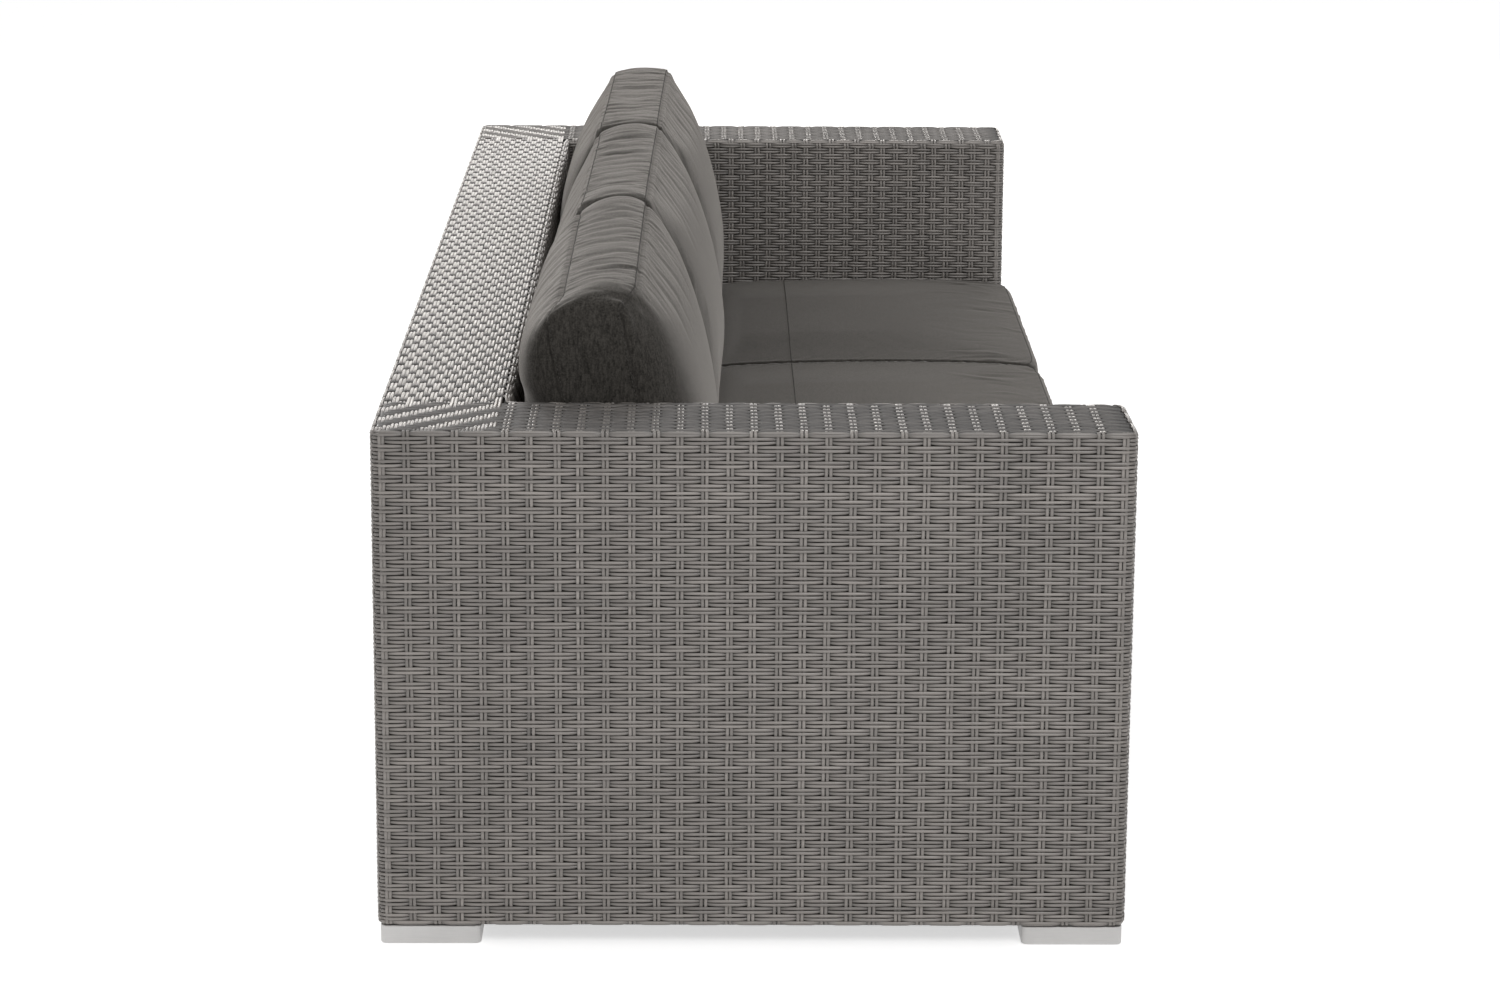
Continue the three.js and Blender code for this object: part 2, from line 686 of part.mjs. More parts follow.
function feetGroup() {
  const group = new THREE.Group();
  for (const [sideName, side] of [['right', -1], ['left', 1]]) {
    for (const [endName, y] of [['front', frontY + footCentre], ['rear', rearY - footCentre]]) {
      const corner = new THREE.Group();
      const name = `${endName}_${sideName}`;
      corner.add(piece(`foot_${name}`, foot(), brushedAluminium));
      corner.add(piece(`foot_glide_${name}`, glide(), glideRubber));
      corner.add(piece(`foot_screw_${name}`, footScrew(), zincSteel));
      corner.position.set(side * (halfWidth - footCentre), y, 0);
      group.add(corner);
    }
  }
  return group;
}

function cushionGroup() {
  const group = new THREE.Group();
  const names = ['right', 'middle', 'left'];
  const seatZipZ = (seatBottomZ + seatSeamZ) / 2;
  const backZipY = (frontSeamY + backSeamY) / 2;
  cushionPlaces.forEach((x, i) => {
    const name = names[i] ?? `number_${i + 1}`;
    group.add(cushionPieces(`seat_cushion_${name}`, x, seatSection, cushionRearY, seatZipZ, -90));
    group.add(cushionPieces(`back_cushion_${name}`, x, backSection, backZipY, backBottomZ, 180));
  });
  return group;
}

const sofa = new THREE.Group();
sofa.add(wovenGroup(), frameGroup(), feetGroup(), cushionGroup());

export default sofa;
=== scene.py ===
import copy
import functools
import json
import math

import bpy
import numpy as np
from mathutils import Matrix, Vector
from mathutils.bvhtree import BVHTree
from mathutils.kdtree import KDTree


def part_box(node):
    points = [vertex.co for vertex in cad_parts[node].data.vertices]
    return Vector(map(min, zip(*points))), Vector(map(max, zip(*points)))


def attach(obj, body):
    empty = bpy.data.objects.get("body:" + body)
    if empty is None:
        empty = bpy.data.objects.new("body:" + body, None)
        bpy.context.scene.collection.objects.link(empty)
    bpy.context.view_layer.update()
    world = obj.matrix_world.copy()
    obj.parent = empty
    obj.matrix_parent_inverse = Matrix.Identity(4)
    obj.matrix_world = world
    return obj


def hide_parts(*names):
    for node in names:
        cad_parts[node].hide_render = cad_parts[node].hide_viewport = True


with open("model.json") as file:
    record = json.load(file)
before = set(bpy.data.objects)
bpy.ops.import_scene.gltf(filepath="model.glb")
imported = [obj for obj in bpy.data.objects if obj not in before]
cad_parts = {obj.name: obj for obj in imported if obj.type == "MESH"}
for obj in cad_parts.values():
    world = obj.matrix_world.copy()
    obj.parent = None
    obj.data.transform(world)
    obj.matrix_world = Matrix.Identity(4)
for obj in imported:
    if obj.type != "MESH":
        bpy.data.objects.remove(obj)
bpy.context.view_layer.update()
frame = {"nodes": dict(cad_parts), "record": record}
MM = 0.001

# Gap between pieces that fit together
FIT_GAP = 0.3 * MM
# The weave of the arms and the back runs this far down behind the cushions
INNER_WALL_TUCK = 30 * MM

# Sizes that follow from the frame
arm_low, arm_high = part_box("arm_weave_right")
back_low, back_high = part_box("back_weave")
apron_low, apron_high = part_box("front_weave")
HALF_WIDTH = -arm_low.x
FRONT_Y = arm_low.y
REAR_Y = back_high.y
BACK_FACE_Y = back_low.y
SEAT_HALF_WIDTH = apron_high.x + FIT_GAP
ARM_TOP_Z = arm_high.z
WEAVE_BOTTOM_Z = arm_low.z
DECK_Z = apron_high.z
INNER_WALL_BOTTOM_Z = DECK_Z - INNER_WALL_TUCK
LEDGE_Y = apron_high.y

# Weave: rounding of its edges, and places of its stakes and rows
CORNER_ROUND = 14 * MM
INNER_CORNER_ROUND = 3 * MM
TOP_ROUND = 6 * MM
INNER_TOP_ROUND = 10 * MM
BOTTOM_ROUND = 6 * MM
LEAST_ROUND = 1.5 * MM
FOLD = 20 * MM
STAKE_PITCH = 27 * MM
REAR_STAKE_PITCH = 24.5 * MM
INNER_STAKE_PITCH = 20.5 * MM
FIRST_ROW = 6.5 * MM
ROW_PITCH = 8.69 * MM
SKIN_DEPTH = 2.6 * MM
# Stakes were set by hand up to this far off their even places, and no stake stands closer to an edge than the
# clearance
STAKE_SHIFT = 2.2 * MM
STAKE_CLEARANCE = 5 * MM
# Stations along a strand: least distance from its ends and from each other, and how far before a row that it
# passes over a stake has one
END_CLEARANCE = 1 * MM
LEAST_STEP = 0.8 * MM
CREST_SHIFT = 2.6 * MM
# Slow waves of the strands: their lengths, how many add up, and what they do to the height and the tone
WAVE_LENGTHS = (0.05, 0.3)
WAVES_ADDED = 2
SWAY_WAVES, TONE_WAVES = 0, WAVES_ADDED
WAVE_HEIGHT = 0.12 * MM
WAVE_TONE = 0.8
# Seeds of the random draws. The stakes of a wall draw from its seed plus a step
WALL_SEED, APRON_SEED, STAKE_SEED_STEP, SHIFT_SEED = 100, 400, 100, 700
ARM_ROW_SEED, ARM_STAKE_SEED, BACK_ROW_SEED, BACK_STAKE_SEED = 300, 310, 320, 330
# Places in the texture: each strand has a strip, with a margin beside it, and its two caps at the strip's end
STRIP_START, STRIP_END, STRIP_MARGIN = 0.002, 0.985, 0.06
CAP_START, CAP_STEP, CAP_LENGTH, CAP_HEIGHT = 0.99, 0.0035, 0.003, 0.35

# A strand's cross section: each point is a share of its half width and of its thickness
ROW_SECTION = np.array([(1.0, 0.0), (0.76, 0.7), (0.0, 1.0), (-0.76, 0.7), (-1.0, 0.0)])
STAKE_SECTION = np.array([(1.0, 0.0), (0.78, 0.76), (0.0, 1.0), (-0.78, 0.76), (-1.0, 0.0)])

# near, far: half the distance between the strands of a pair, where it dips and where it lies high
# pinch: how much narrower a strand is where it dips; high: how far it stands up elsewhere
# drop: how deep it dips; dip: the half length of a dip; offsets: the stations round it
# drift: how far a strand strays sideways
ROW = dict(
    section=ROW_SECTION, thickness=2.0 * MM, width=4.15 * MM, pinch=0.5 * MM,
    near=1.75 * MM, far=2.25 * MM, high=0.1 * MM, drop=2.3 * MM, dip=7.5 * MM, drift=0.28 * MM,
    offsets=np.array([0, -4, 4, -8, 8, -13.5, 13.5]) * MM,
)
STAKE = dict(
    section=STAKE_SECTION, thickness=1.7 * MM, width=4.2 * MM, pinch=0.0,
    near=2.3 * MM, far=2.3 * MM, high=0.1 * MM, drop=2.1 * MM, dip=3.5 * MM, drift=0.4 * MM,
    offsets=np.array([0, -2.6, 2.6, -6.1]) * MM,
)
# On the flat tops the pairs close up. On the arms the rows leave holes beside the stakes that pass over them
RAIL_ROW = dict(ROW, near=2.05 * MM, far=2.05 * MM, width=4.5 * MM, pinch=0.3 * MM)
ARM_ROW = dict(ROW, near=1.5 * MM, far=2.25 * MM, width=4.1 * MM, pinch=1.0 * MM)
TOP_STAKE = dict(STAKE, near=2.1 * MM, far=2.1 * MM, width=4.5 * MM)
TWILL_DIP = 3.9 * MM


class Strands:
    """Closed strands of the weave, gathered into one mesh."""

    def __init__(self):
        self.parts = []

    def add(self, kind, points, normals, width, tone, deep):
        """Strands through points of shape (strand, station, 3), which run along the strand's underside."""
        along = np.gradient(points, axis=1)
        side = np.cross(along, normals)
        side /= np.linalg.norm(side, axis=2, keepdims=True)
        section = kind["section"]
        across = side[:, :, None, :] * (width[:, :, None] / 2 * section[:, 0])[..., None]
        upward = normals[:, :, None, :] * (kind["thickness"] * section[:, 1])[:, None]
        rings = points[:, :, None, :] + across + upward
        # Each point keeps its strand's tone and two measures from which the finish paints shade: how deep the
        # strand dips there and how near the strand's edge it lies
        self.parts.append((
            rings, np.broadcast_to(tone[:, :, None], rings.shape[:3]),
            np.broadcast_to(deep[:, :, None], rings.shape[:3]),
            np.broadcast_to(1 - section[:, 1], rings.shape[:3]),
        ))

    def mesh(self, name):
        coordinates, corners, sizes, uvs = [], [], [], []
        strips = sum(part[0].shape[0] for part in self.parts)
        first_vertex = first_strip = 0
        for rings, *_ in self.parts:
            count, stations, sides, _ = rings.shape
            index = first_vertex + np.arange(count * stations * sides).reshape(count, stations, sides)
            following = np.roll(index, -1, axis=2)
            quads = np.stack([index[:, :-1], following[:, :-1], following[:, 1:], index[:, 1:]], axis=-1)
            strip = (first_strip + np.arange(count))[:, None, None, None]
            length = np.linspace(STRIP_START, STRIP_END, stations)[None, :, None]
            station = np.stack([length[:, :-1], length[:, :-1], length[:, 1:], length[:, 1:]], axis=-1)
            around = np.arange(sides)[None, None, :, None] + np.array([0, 1, 1, 0])
            station, around, strip = np.broadcast_arrays(station, around, strip)
            height = (strip + STRIP_MARGIN + (1 - 2 * STRIP_MARGIN) * around / sides) / strips
            coordinates.append(rings.reshape(-1, 3))
            corners.append(quads.reshape(-1))
            sizes.append(np.full(quads.size // 4, 4))
            uvs.append(np.stack([station, height], axis=-1).reshape(-1, 2))
            turn = np.arange(sides) / sides * math.tau
            for end, ring in ((0, index[:, 0, ::-1]), (1, index[:, -1, :])):
                corners.append(ring.reshape(-1))
                sizes.append(np.full(count, sides))
                spot_u = CAP_START + CAP_LENGTH * np.cos(turn) + CAP_STEP * end
                spot_v = 0.5 + CAP_HEIGHT * np.sin(turn)
                rows = (first_strip + np.arange(count)[:, None] + spot_v) / strips
                uvs.append(np.stack([np.broadcast_to(spot_u, rows.shape), rows], axis=-1).reshape(-1, 2))
            first_vertex += rings.shape[0] * stations * sides
            first_strip += count
        tone, deep, edge = (np.concatenate([part[i].ravel() for part in self.parts]) for i in (1, 2, 3))
        return mesh_from_arrays(
            name, np.concatenate(coordinates), np.concatenate(corners), np.concatenate(sizes),
            np.concatenate(uvs), {"tone": tone, "deep": deep, "edge": edge},
        )


def mesh_from_arrays(name, coordinates, corners, sizes, uvs, attributes):
    """A smooth-shaded object from arrays of points, face corners, face sizes and corner UVs."""
    mesh = bpy.data.meshes.new(name)
    mesh.vertices.add(len(coordinates))
    mesh.vertices.foreach_set("co", coordinates.astype(np.float32).ravel())
    mesh.loops.add(len(corners))
    mesh.loops.foreach_set("vertex_index", corners.astype(np.int32))
    mesh.polygons.add(len(sizes))
    starts = np.concatenate([[0], np.cumsum(sizes)[:-1]])
    mesh.polygons.foreach_set("loop_start", starts.astype(np.int32))
    mesh.update(calc_edges=True)
    mesh.polygons.foreach_set("use_smooth", np.ones(len(sizes), bool))
    layer = mesh.uv_layers.new(name="OFBake")
    layer.data.foreach_set("uv", uvs.astype(np.float32).ravel())
    for key, values in attributes.items():
        attribute = mesh.attributes.new(key, "FLOAT", "POINT")
        attribute.data.foreach_set("value", values.astype(np.float32))
    mesh.validate()
    mesh.update()
    piece = bpy.data.objects.new(name, mesh)
    bpy.context.scene.collection.objects.link(piece)
    return piece


class Unevenness:
    """Slow sideways drift and tone of each runner, the same wherever a runner is cut. A shade moves all its
    tones darker or lighter, which paints shade or light on a set of runners.
    """

    def __init__(self, seed, count, shade=0.0):
        chance = np.random.default_rng(seed)
        self.phase = chance.uniform(0, math.tau, (count, 2, 2 * WAVES_ADDED))
        self.wavelength = chance.uniform(*WAVE_LENGTHS, (count, 2, 2 * WAVES_ADDED))
        self.tone = chance.normal(shade, 1, (count, 2))

    def of(self, numbers):
        part = copy.copy(self)
        part.phase, part.wavelength, part.tone = (
            values[numbers] for values in (self.phase, self.wavelength, self.tone)
        )
        return part

    def waves(self, along, first):
        """The waves from the first one on, of each strand at stations of shape (runner, station)."""
        turned = along[:, None, :, None] / self.wavelength[:, :, None, :] * math.tau
        angle = turned + self.phase[:, :, None, :]
        return np.sin(angle)[..., first:first + WAVES_ADDED].sum(axis=3) / WAVES_ADDED


def bell(distance, width):
    """1 at no distance, and next to nothing beyond twice the width."""
    return np.exp(-(distance / width) ** 2)


def add_runners(strands, kind, surface, along, across, crossings, under, uneven, dip=None):
    """Pairs of strands along a surface that dip under what crosses them.

    along: the stations; across: the runners' places; crossings: where something crosses;
    under: for each runner and crossing, whether the runner dips there; dip: how far off a dip starts."""
    along = np.broadcast_to(along, (len(across), len(along)))
    gap = np.abs(along[:, :, None] - crossings)
    dip = kind["dip"] if dip is None else dip
    dips = np.where(under[:, None, :], bell(gap, dip), 0).max(axis=2)
    spread = kind["near"] + (kind["far"] - kind["near"]) * (1 - dips)
    side = np.array([-1.0, 1.0])[None, :, None]
    sway = uneven.waves(along, SWAY_WAVES)
    place = across[:, None, None] + spread[:, None, :] * side + kind["drift"] * sway
    flat = (len(across) * 2, along.shape[1])

    def both(values):
        return np.broadcast_to(values[:, None, :], place.shape).reshape(flat)

    points, normals = surface(both(along), place.reshape(flat))
    height = both(kind["high"] - kind["drop"] * dips - SKIN_DEPTH) + WAVE_HEIGHT * sway.reshape(flat)
    points = points + normals * height[..., None]
    tone = uneven.tone[:, :, None] + WAVE_TONE * uneven.waves(along, TONE_WAVES)
    width = both(kind["width"] - kind["pinch"] * dips)
    strands.add(kind, points, normals, width, tone.reshape(flat), both(dips))


def stations_between(low, high, dips, offsets, wide):
    """Stations from low to high: close together at the dips, with one more at each place of wide."""
    near = (dips[:, None] + offsets[None, :]).ravel()
    inside = np.concatenate([near, wide])
    inside = np.sort(inside[(inside > low + END_CLEARANCE) & (inside < high - END_CLEARANCE)])
    keep = np.concatenate([[True], np.diff(inside) > LEAST_STEP])
    return np.concatenate([[low], inside[keep], [high]])


def swapped(surface):
    return lambda along, across: surface(across, along)


def add_rows(strands, surface, rows, stakes, span, uneven):
    """Rows, given as (numbers, places), over a surface(along, across). They dip under every other stake."""
    numbers, places = rows
    stake_numbers, stake_places = stakes
    for odd in (0, 1):
        mine = numbers % 2 == odd
        low_side = (stake_numbers + odd) % 2 == 1
        along = stations_between(*span, stake_places[low_side], ROW["offsets"], stake_places[~low_side])
        under = np.broadcast_to(low_side, (mine.sum(), len(low_side)))
        add_runners(strands, ROW, surface, along, places[mine], stake_places, under, uneven.of(numbers[mine]))


def add_stakes(strands, surface, stakes, rows, span, uneven, kind=STAKE):
    """Stakes, given as (numbers, places), over the same surface.

    They dip where add_rows lets the rows lie high."""
    numbers, places = stakes
    row_numbers, row_places = rows
    for odd in (0, 1):
        mine = numbers % 2 == odd
        if mine.any():
            over = (row_numbers + odd) % 2 == 1
            crests = row_places[~over] - CREST_SHIFT
            along = stations_between(*span, row_places[over], kind["offsets"], crests)
            under = np.broadcast_to(~over, (mine.sum(), len(over)))
            add_runners(strands, kind, swapped(surface), along, places[mine], row_places, under,
                        uneven.of(numbers[mine]))


weave_pieces = []


def finish_weave(strands, name, node):
    piece = strands.mesh(name)
    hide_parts(node)
    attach(piece, "sofa")
    weave_pieces.append(piece)


def share_of(runners, part, parts):
    """One part's share of the runners, given as (numbers, places)."""
    numbers, places = runners
    own = slice(len(numbers) * part // parts, len(numbers) * (part + 1) // parts)
    return numbers[own], places[own]


def weave_in_parts(name, node, parts, surface, rows, stakes, length, reach, seed):
    """Plain weave over a whole wall. Each piece of it takes a share of the rows and a share of the stakes."""
    uneven_rows = Unevenness(seed, len(rows[0]))
    uneven_stakes = Unevenness(seed + STAKE_SEED_STEP, len(stakes[0]))
    for part in range(parts):
        strands = Strands()
        add_rows(strands, surface, share_of(rows, part, parts), stakes, (0.0, length), uneven_rows)
        add_stakes(strands, surface, share_of(stakes, part, parts), rows, (0.0, reach), uneven_stakes)
        finish_weave(strands, name if parts == 1 else f"{name}_{part + 1}", node)


# The plan of the walls, clockwise seen from above: each corner's place, its rounding, and whether it is outer
PLAN = [
    (-SEAT_HALF_WIDTH, FRONT_Y, CORNER_ROUND, True),
    (-HALF_WIDTH, FRONT_Y, CORNER_ROUND, True),
    (-HALF_WIDTH, REAR_Y, CORNER_ROUND, True),
    (HALF_WIDTH, REAR_Y, CORNER_ROUND, True),
    (HALF_WIDTH, FRONT_Y, CORNER_ROUND, True),
    (SEAT_HALF_WIDTH, FRONT_Y, CORNER_ROUND, True),
    (SEAT_HALF_WIDTH, BACK_FACE_Y, INNER_CORNER_ROUND, False),
    (-SEAT_HALF_WIDTH, BACK_FACE_Y, INNER_CORNER_ROUND, False),
]
# Each wall's name, the node it replaces, and how many pieces its weave takes
WALLS = [
    ("right_front", "arm_weave_right", 1),
    ("right_side", "arm_weave_right", 2),
    ("rear", "back_weave", 5),
    ("left_side", "arm_weave_left", 2),
    ("left_front", "arm_weave_left", 1),
    ("left_inner", "arm_weave_left", 1),
    ("back_face", "back_weave", 3),
    ("right_inner", "arm_weave_right", 1),
]
INNER_WALLS = ("left_inner", "back_face", "right_inner")


def corner_of(number):
    return PLAN[number % len(PLAN)]


def wall_direction(wall):
    """The way that a wall runs in plan, and its length."""
    start, end = corner_of(wall), corner_of(wall + 1)
    run = np.array([end[0] - start[0], end[1] - start[1]])
    length = float(np.abs(run).sum())
    return run / length, length


def outward(direction):
    return np.array([-direction[1], direction[0]])


def wall_plan(wall, along, inset):
    """Place and outward normal in plan, along a wall from the middle of one corner to the next."""
    length = wall_direction(wall)[1]
    ends = []
    for corner in (wall, wall + 1):
        x, y, radius, outer = corner_of(corner)
        before, after = (outward(wall_direction(side)[0]) for side in (corner - 1, corner))
        sign = 1 if outer else -1
        bend = np.maximum(radius - sign * inset, LEAST_ROUND)[..., None]
        sharp = np.array([x, y]) - inset[..., None] * (before + after)
        centre = sharp - sign * bend * (before + after)
        ends.append((centre, bend * sign, before, after, radius))
    (centre0, bend0, _, after0, radius0), (centre1, bend1, before1, _, radius1) = ends
    start, finish = centre0 + bend0 * after0, centre1 + bend1 * before1
    share = np.clip((along - radius0) / (length - radius0 - radius1), 0, 1)[..., None]
    place = start + (finish - start) * share
    facing = np.broadcast_to(after0, place.shape)
    turns = (0.5 + 0.5 * along / radius0, 0.5 * (along - length + radius1) / radius1)
    for (centre, bend, before, after, _), turned, inside in zip(ends, turns, (turns[0] < 1, turns[1] > 0)):
        angle = np.clip(turned, 0, 1)[..., None] * math.pi / 2
        ray = before * np.cos(angle) + after * np.sin(angle)
        place = np.where(inside[..., None], centre + bend * ray, place)
        facing = np.where(inside[..., None], ray, facing)
    return place, facing


def drop_profile(down, top, foot, radius=TOP_ROUND):
    """A wall's inset, its height, and the level and upward shares of its normal.

    down: the distance walked from the wall's top, round its top and its bottom edge."""
    plain = top - radius - foot
    arc = radius * math.pi / 2
    angle = np.clip(down / radius, 0, math.pi / 2)
    turn = np.clip((down - arc - plain) / BOTTOM_ROUND, 0, math.pi / 2)
    beyond = np.clip(down - arc - plain - BOTTOM_ROUND * math.pi / 2, 0, None)
    inset = radius * (1 - np.sin(angle)) + BOTTOM_ROUND * (1 - np.cos(turn)) + beyond
    height = top - radius * (1 - np.cos(angle)) - np.clip(down - arc, 0, plain) - BOTTOM_ROUND * np.sin(turn)
    return inset, height, np.sin(angle) * np.cos(turn), np.cos(angle) - np.sin(turn)


TOP_ARC = TOP_ROUND * math.pi / 2
INNER_TOP_ARC = INNER_TOP_ROUND * math.pi / 2
BOTTOM_ARC = BOTTOM_ROUND * math.pi / 2
OUTER_FOOT_Z = WEAVE_BOTTOM_Z + BOTTOM_ROUND
OUTER_DOWN = TOP_ARC + ARM_TOP_Z - TOP_ROUND - OUTER_FOOT_Z + BOTTOM_ARC + FOLD
INNER_DOWN = INNER_TOP_ARC + ARM_TOP_Z - INNER_TOP_ROUND - INNER_WALL_BOTTOM_Z
REAR_PITCH = 2 * HALF_WIDTH / round(2 * HALF_WIDTH / REAR_STAKE_PITCH)


def top_radius(wall, along):
    """The rounding of a wall's top edge. Across an arm's front it goes from the inner to the outer one."""
    name = WALLS[wall][0]
    if name in INNER_WALLS:
        return INNER_TOP_ROUND
    if not name.endswith("front"):
        return TOP_ROUND
    share = np.clip(along / wall_direction(wall)[1], 0, 1)
    return TOP_ROUND + (INNER_TOP_ROUND - TOP_ROUND) * (share if name.startswith("left") else 1 - share)


def wall_surface(wall):
    foot = INNER_WALL_BOTTOM_Z if WALLS[wall][0] in INNER_WALLS else OUTER_FOOT_Z

    def surface(along, down):
        inset, height, level, upward = drop_profile(down, ARM_TOP_Z, foot, top_radius(wall, along))
        place, facing = wall_plan(wall, along, inset)
        points = np.concatenate([place, height[..., None]], axis=-1)
        normals = np.concatenate([facing * level[..., None], upward[..., None]], axis=-1)
        return points, normals
    return surface


def uneven_set(seed, count):
    """How far off its even place each stake was set by hand."""
    return np.random.default_rng(SHIFT_SEED + seed).uniform(-STAKE_SHIFT, STAKE_SHIFT, count)


def wall_stakes(wall):
    """Numbers and places of a wall's stakes. Those of the back's two faces stand opposite each other."""
    name, length = WALLS[wall][0], wall_direction(wall)[1]
    if name == "back_face":
        step_in = HALF_WIDTH - SEAT_HALF_WIDTH
        lead = (math.ceil((step_in + STAKE_CLEARANCE) / REAR_PITCH - 0.5) + 0.5) * REAR_PITCH - step_in
        numbers = np.arange(round((length - 2 * lead) / REAR_PITCH) + 1)
        return numbers, lead + numbers * REAR_PITCH
    pitch = REAR_STAKE_PITCH if name == "rear" else INNER_STAKE_PITCH if name in INNER_WALLS else STAKE_PITCH
    numbers = np.arange(round(length / pitch))
    return numbers, (numbers + 0.5) * length / len(numbers) + uneven_set(wall, len(numbers))


for wall, (wall_name, replaced_node, parts) in enumerate(WALLS):
    reach = INNER_DOWN if wall_name in INNER_WALLS else OUTER_DOWN
    row_numbers = np.arange(int((reach - FIRST_ROW) / ROW_PITCH))
    wall_rows = (row_numbers, FIRST_ROW + row_numbers * ROW_PITCH)
    weave_in_parts(
        f"{wall_name}_weave", replaced_node, parts, wall_surface(wall),
        wall_rows, wall_stakes(wall), wall_direction(wall)[1], reach, WALL_SEED + wall,
    )


# The flat tops: rows run along each arm and along the back, and interlace as twill where they cross
FLAT_X = (-HALF_WIDTH + TOP_ROUND, -SEAT_HALF_WIDTH - INNER_TOP_ROUND)
FLAT_Y = (BACK_FACE_Y + INNER_TOP_ROUND, REAR_Y - TOP_ROUND)
ARM_ROWS = 17
BACK_ROWS = 16
# Tone shifts that paint light on the tops: the arm rows and the back's stakes are painted darker as shade,
# the right arm's rows more than the left's, and the back's rows a little lighter as a painted sheen
ARM_TOP_PAINTED_SHADE = {"right": -6.0, "left": -3.0}
BACK_TOP_PAINTED_SHEEN = 0.3
BACK_STAKE_PAINTED_SHADE = -7.5
TWILL_CELLS = 6
TWILL_STEP = 4.4 * MM
# The rows' ends go this far into the rounded edges
TUCK = 2 * MM


def level_top(x, y):
    points = np.stack([x, y, np.full(x.shape, ARM_TOP_Z)], axis=-1)
    return points, np.broadcast_to(np.array([0.0, 0.0, 1.0]), points.shape)


def mirrored(surface, side):
    return lambda x, y: surface(side * x, y)


def even_places(low, high, count):
    return low + (np.arange(count) + 0.5) * (high - low) / count


def add_top_rows(strands, kind, surface, places, stakes, twills, span, uneven):
    """Rows of a flat top, over and under its stakes and, at its ends, over and under the rows that cross it.

    twills: (places of the crossing rows, whether each own row passes over each of them)."""
    stake_numbers, stake_places = stakes
    twill_places = np.concatenate([crossing for crossing, _ in twills])
    crossings = np.concatenate([[span[0]], stake_places, twill_places, [span[1]]])
    dip = np.where(np.isin(crossings, twill_places), TWILL_DIP, kind["dip"])
    fine = np.concatenate([np.arange(*crossing[[0, -1]], TWILL_STEP) for crossing, _ in twills])
    numbers = np.arange(len(places))
    for odd in (0, 1):
        mine = numbers % 2 == odd
        low_side = (stake_numbers + odd) % 2 == 1
        along = stations_between(
            *span, stake_places[low_side], kind["offsets"], np.concatenate([stake_places[~low_side], fine]),
        )
        ends = np.ones((mine.sum(), 1), bool)
        low_stakes = np.broadcast_to(low_side, (mine.sum(), len(low_side)))
        low_rows = [~over[mine] for _, over in twills]
        under = np.concatenate([ends, low_stakes, *low_rows, ends], axis=1)
        own = uneven.of(numbers[mine])
        add_runners(strands, kind, surface, along, places[mine], crossings, under, own, dip)


def build_tops():
    arm_rows, back_rows = even_places(*FLAT_X, ARM_ROWS), even_places(*FLAT_Y, BACK_ROWS)
    side_stakes = even_places(FRONT_Y, REAR_Y, round((REAR_Y - FRONT_Y) / STAKE_PITCH))
    rear_stakes = even_places(-HALF_WIDTH, HALF_WIDTH, round(2 * HALF_WIDTH / REAR_STAKE_PITCH))
    clear_front = FRONT_Y + CORNER_ROUND + STAKE_CLEARANCE
    on_arm = np.flatnonzero((side_stakes < FLAT_Y[0] - STAKE_CLEARANCE) & (side_stakes > clear_front))
    on_back = np.flatnonzero(np.abs(rear_stakes) < -FLAT_X[1])
    arm_stakes, back_stakes = (on_arm, side_stakes[on_arm]), (on_back, rear_stakes[on_back])
    # True where a row of the back passes over one of the arm: steps of three cells, one cell on with each row
    steps = np.arange(ARM_ROWS)[:, None] - np.arange(BACK_ROWS)[None, ::-1] + 1
    back_over = steps % TWILL_CELLS < TWILL_CELLS // 2
    for side, side_name in ((-1, "right"), (1, "left")):
        strands = Strands()
        surface = mirrored(level_top, -side)
        add_top_rows(
            strands, ARM_ROW, swapped(surface), arm_rows, arm_stakes, [(back_rows, ~back_over)],
            (FRONT_Y + TOP_ROUND - TUCK, FLAT_Y[1] + TUCK),
            Unevenness(ARM_ROW_SEED + side, ARM_ROWS, ARM_TOP_PAINTED_SHADE[side_name]),
        )
        add_stakes(
            strands, swapped(surface), arm_stakes, (np.arange(ARM_ROWS), arm_rows), FLAT_X,
            Unevenness(ARM_STAKE_SEED + side, len(side_stakes)), TOP_STAKE,
        )
        finish_weave(strands, f"{side_name}_arm_top_weave", f"arm_weave_{side_name}")
    strands = Strands()
    add_top_rows(
        strands, RAIL_ROW, level_top, back_rows, back_stakes,
        [(arm_rows, back_over.T), (-arm_rows[::-1], back_over.T[:, ::-1])],
        (FLAT_X[0] - TUCK, -FLAT_X[0] + TUCK), Unevenness(BACK_ROW_SEED, BACK_ROWS, BACK_TOP_PAINTED_SHEEN),
    )
    add_stakes(
        strands, level_top, back_stakes, (np.arange(BACK_ROWS), back_rows), FLAT_Y,
        Unevenness(BACK_STAKE_SEED, len(rear_stakes), BACK_STAKE_PAINTED_SHADE), TOP_STAKE,
    )
    finish_weave(strands, "back_top_weave", "back_weave")


build_tops()


# Apron below the cushions
LEDGE = LEDGE_Y - FRONT_Y - TOP_ROUND
APRON_PLAY = 1 * MM
APRON_HALF = SEAT_HALF_WIDTH - APRON_PLAY
APRON_DOWN = LEDGE + TOP_ARC + DECK_Z - TOP_ROUND - OUTER_FOOT_Z + BOTTOM_ARC + FOLD


def apron_surface(along, down):
    inset, height, level, upward = drop_profile(np.clip(down - LEDGE, 0, None), DECK_Z, OUTER_FOOT_Z)
    y = FRONT_Y + inset + np.clip(LEDGE - down, 0, None)
    return np.stack([along, y, height], axis=-1), np.stack([0 * along, -level, upward], axis=-1)


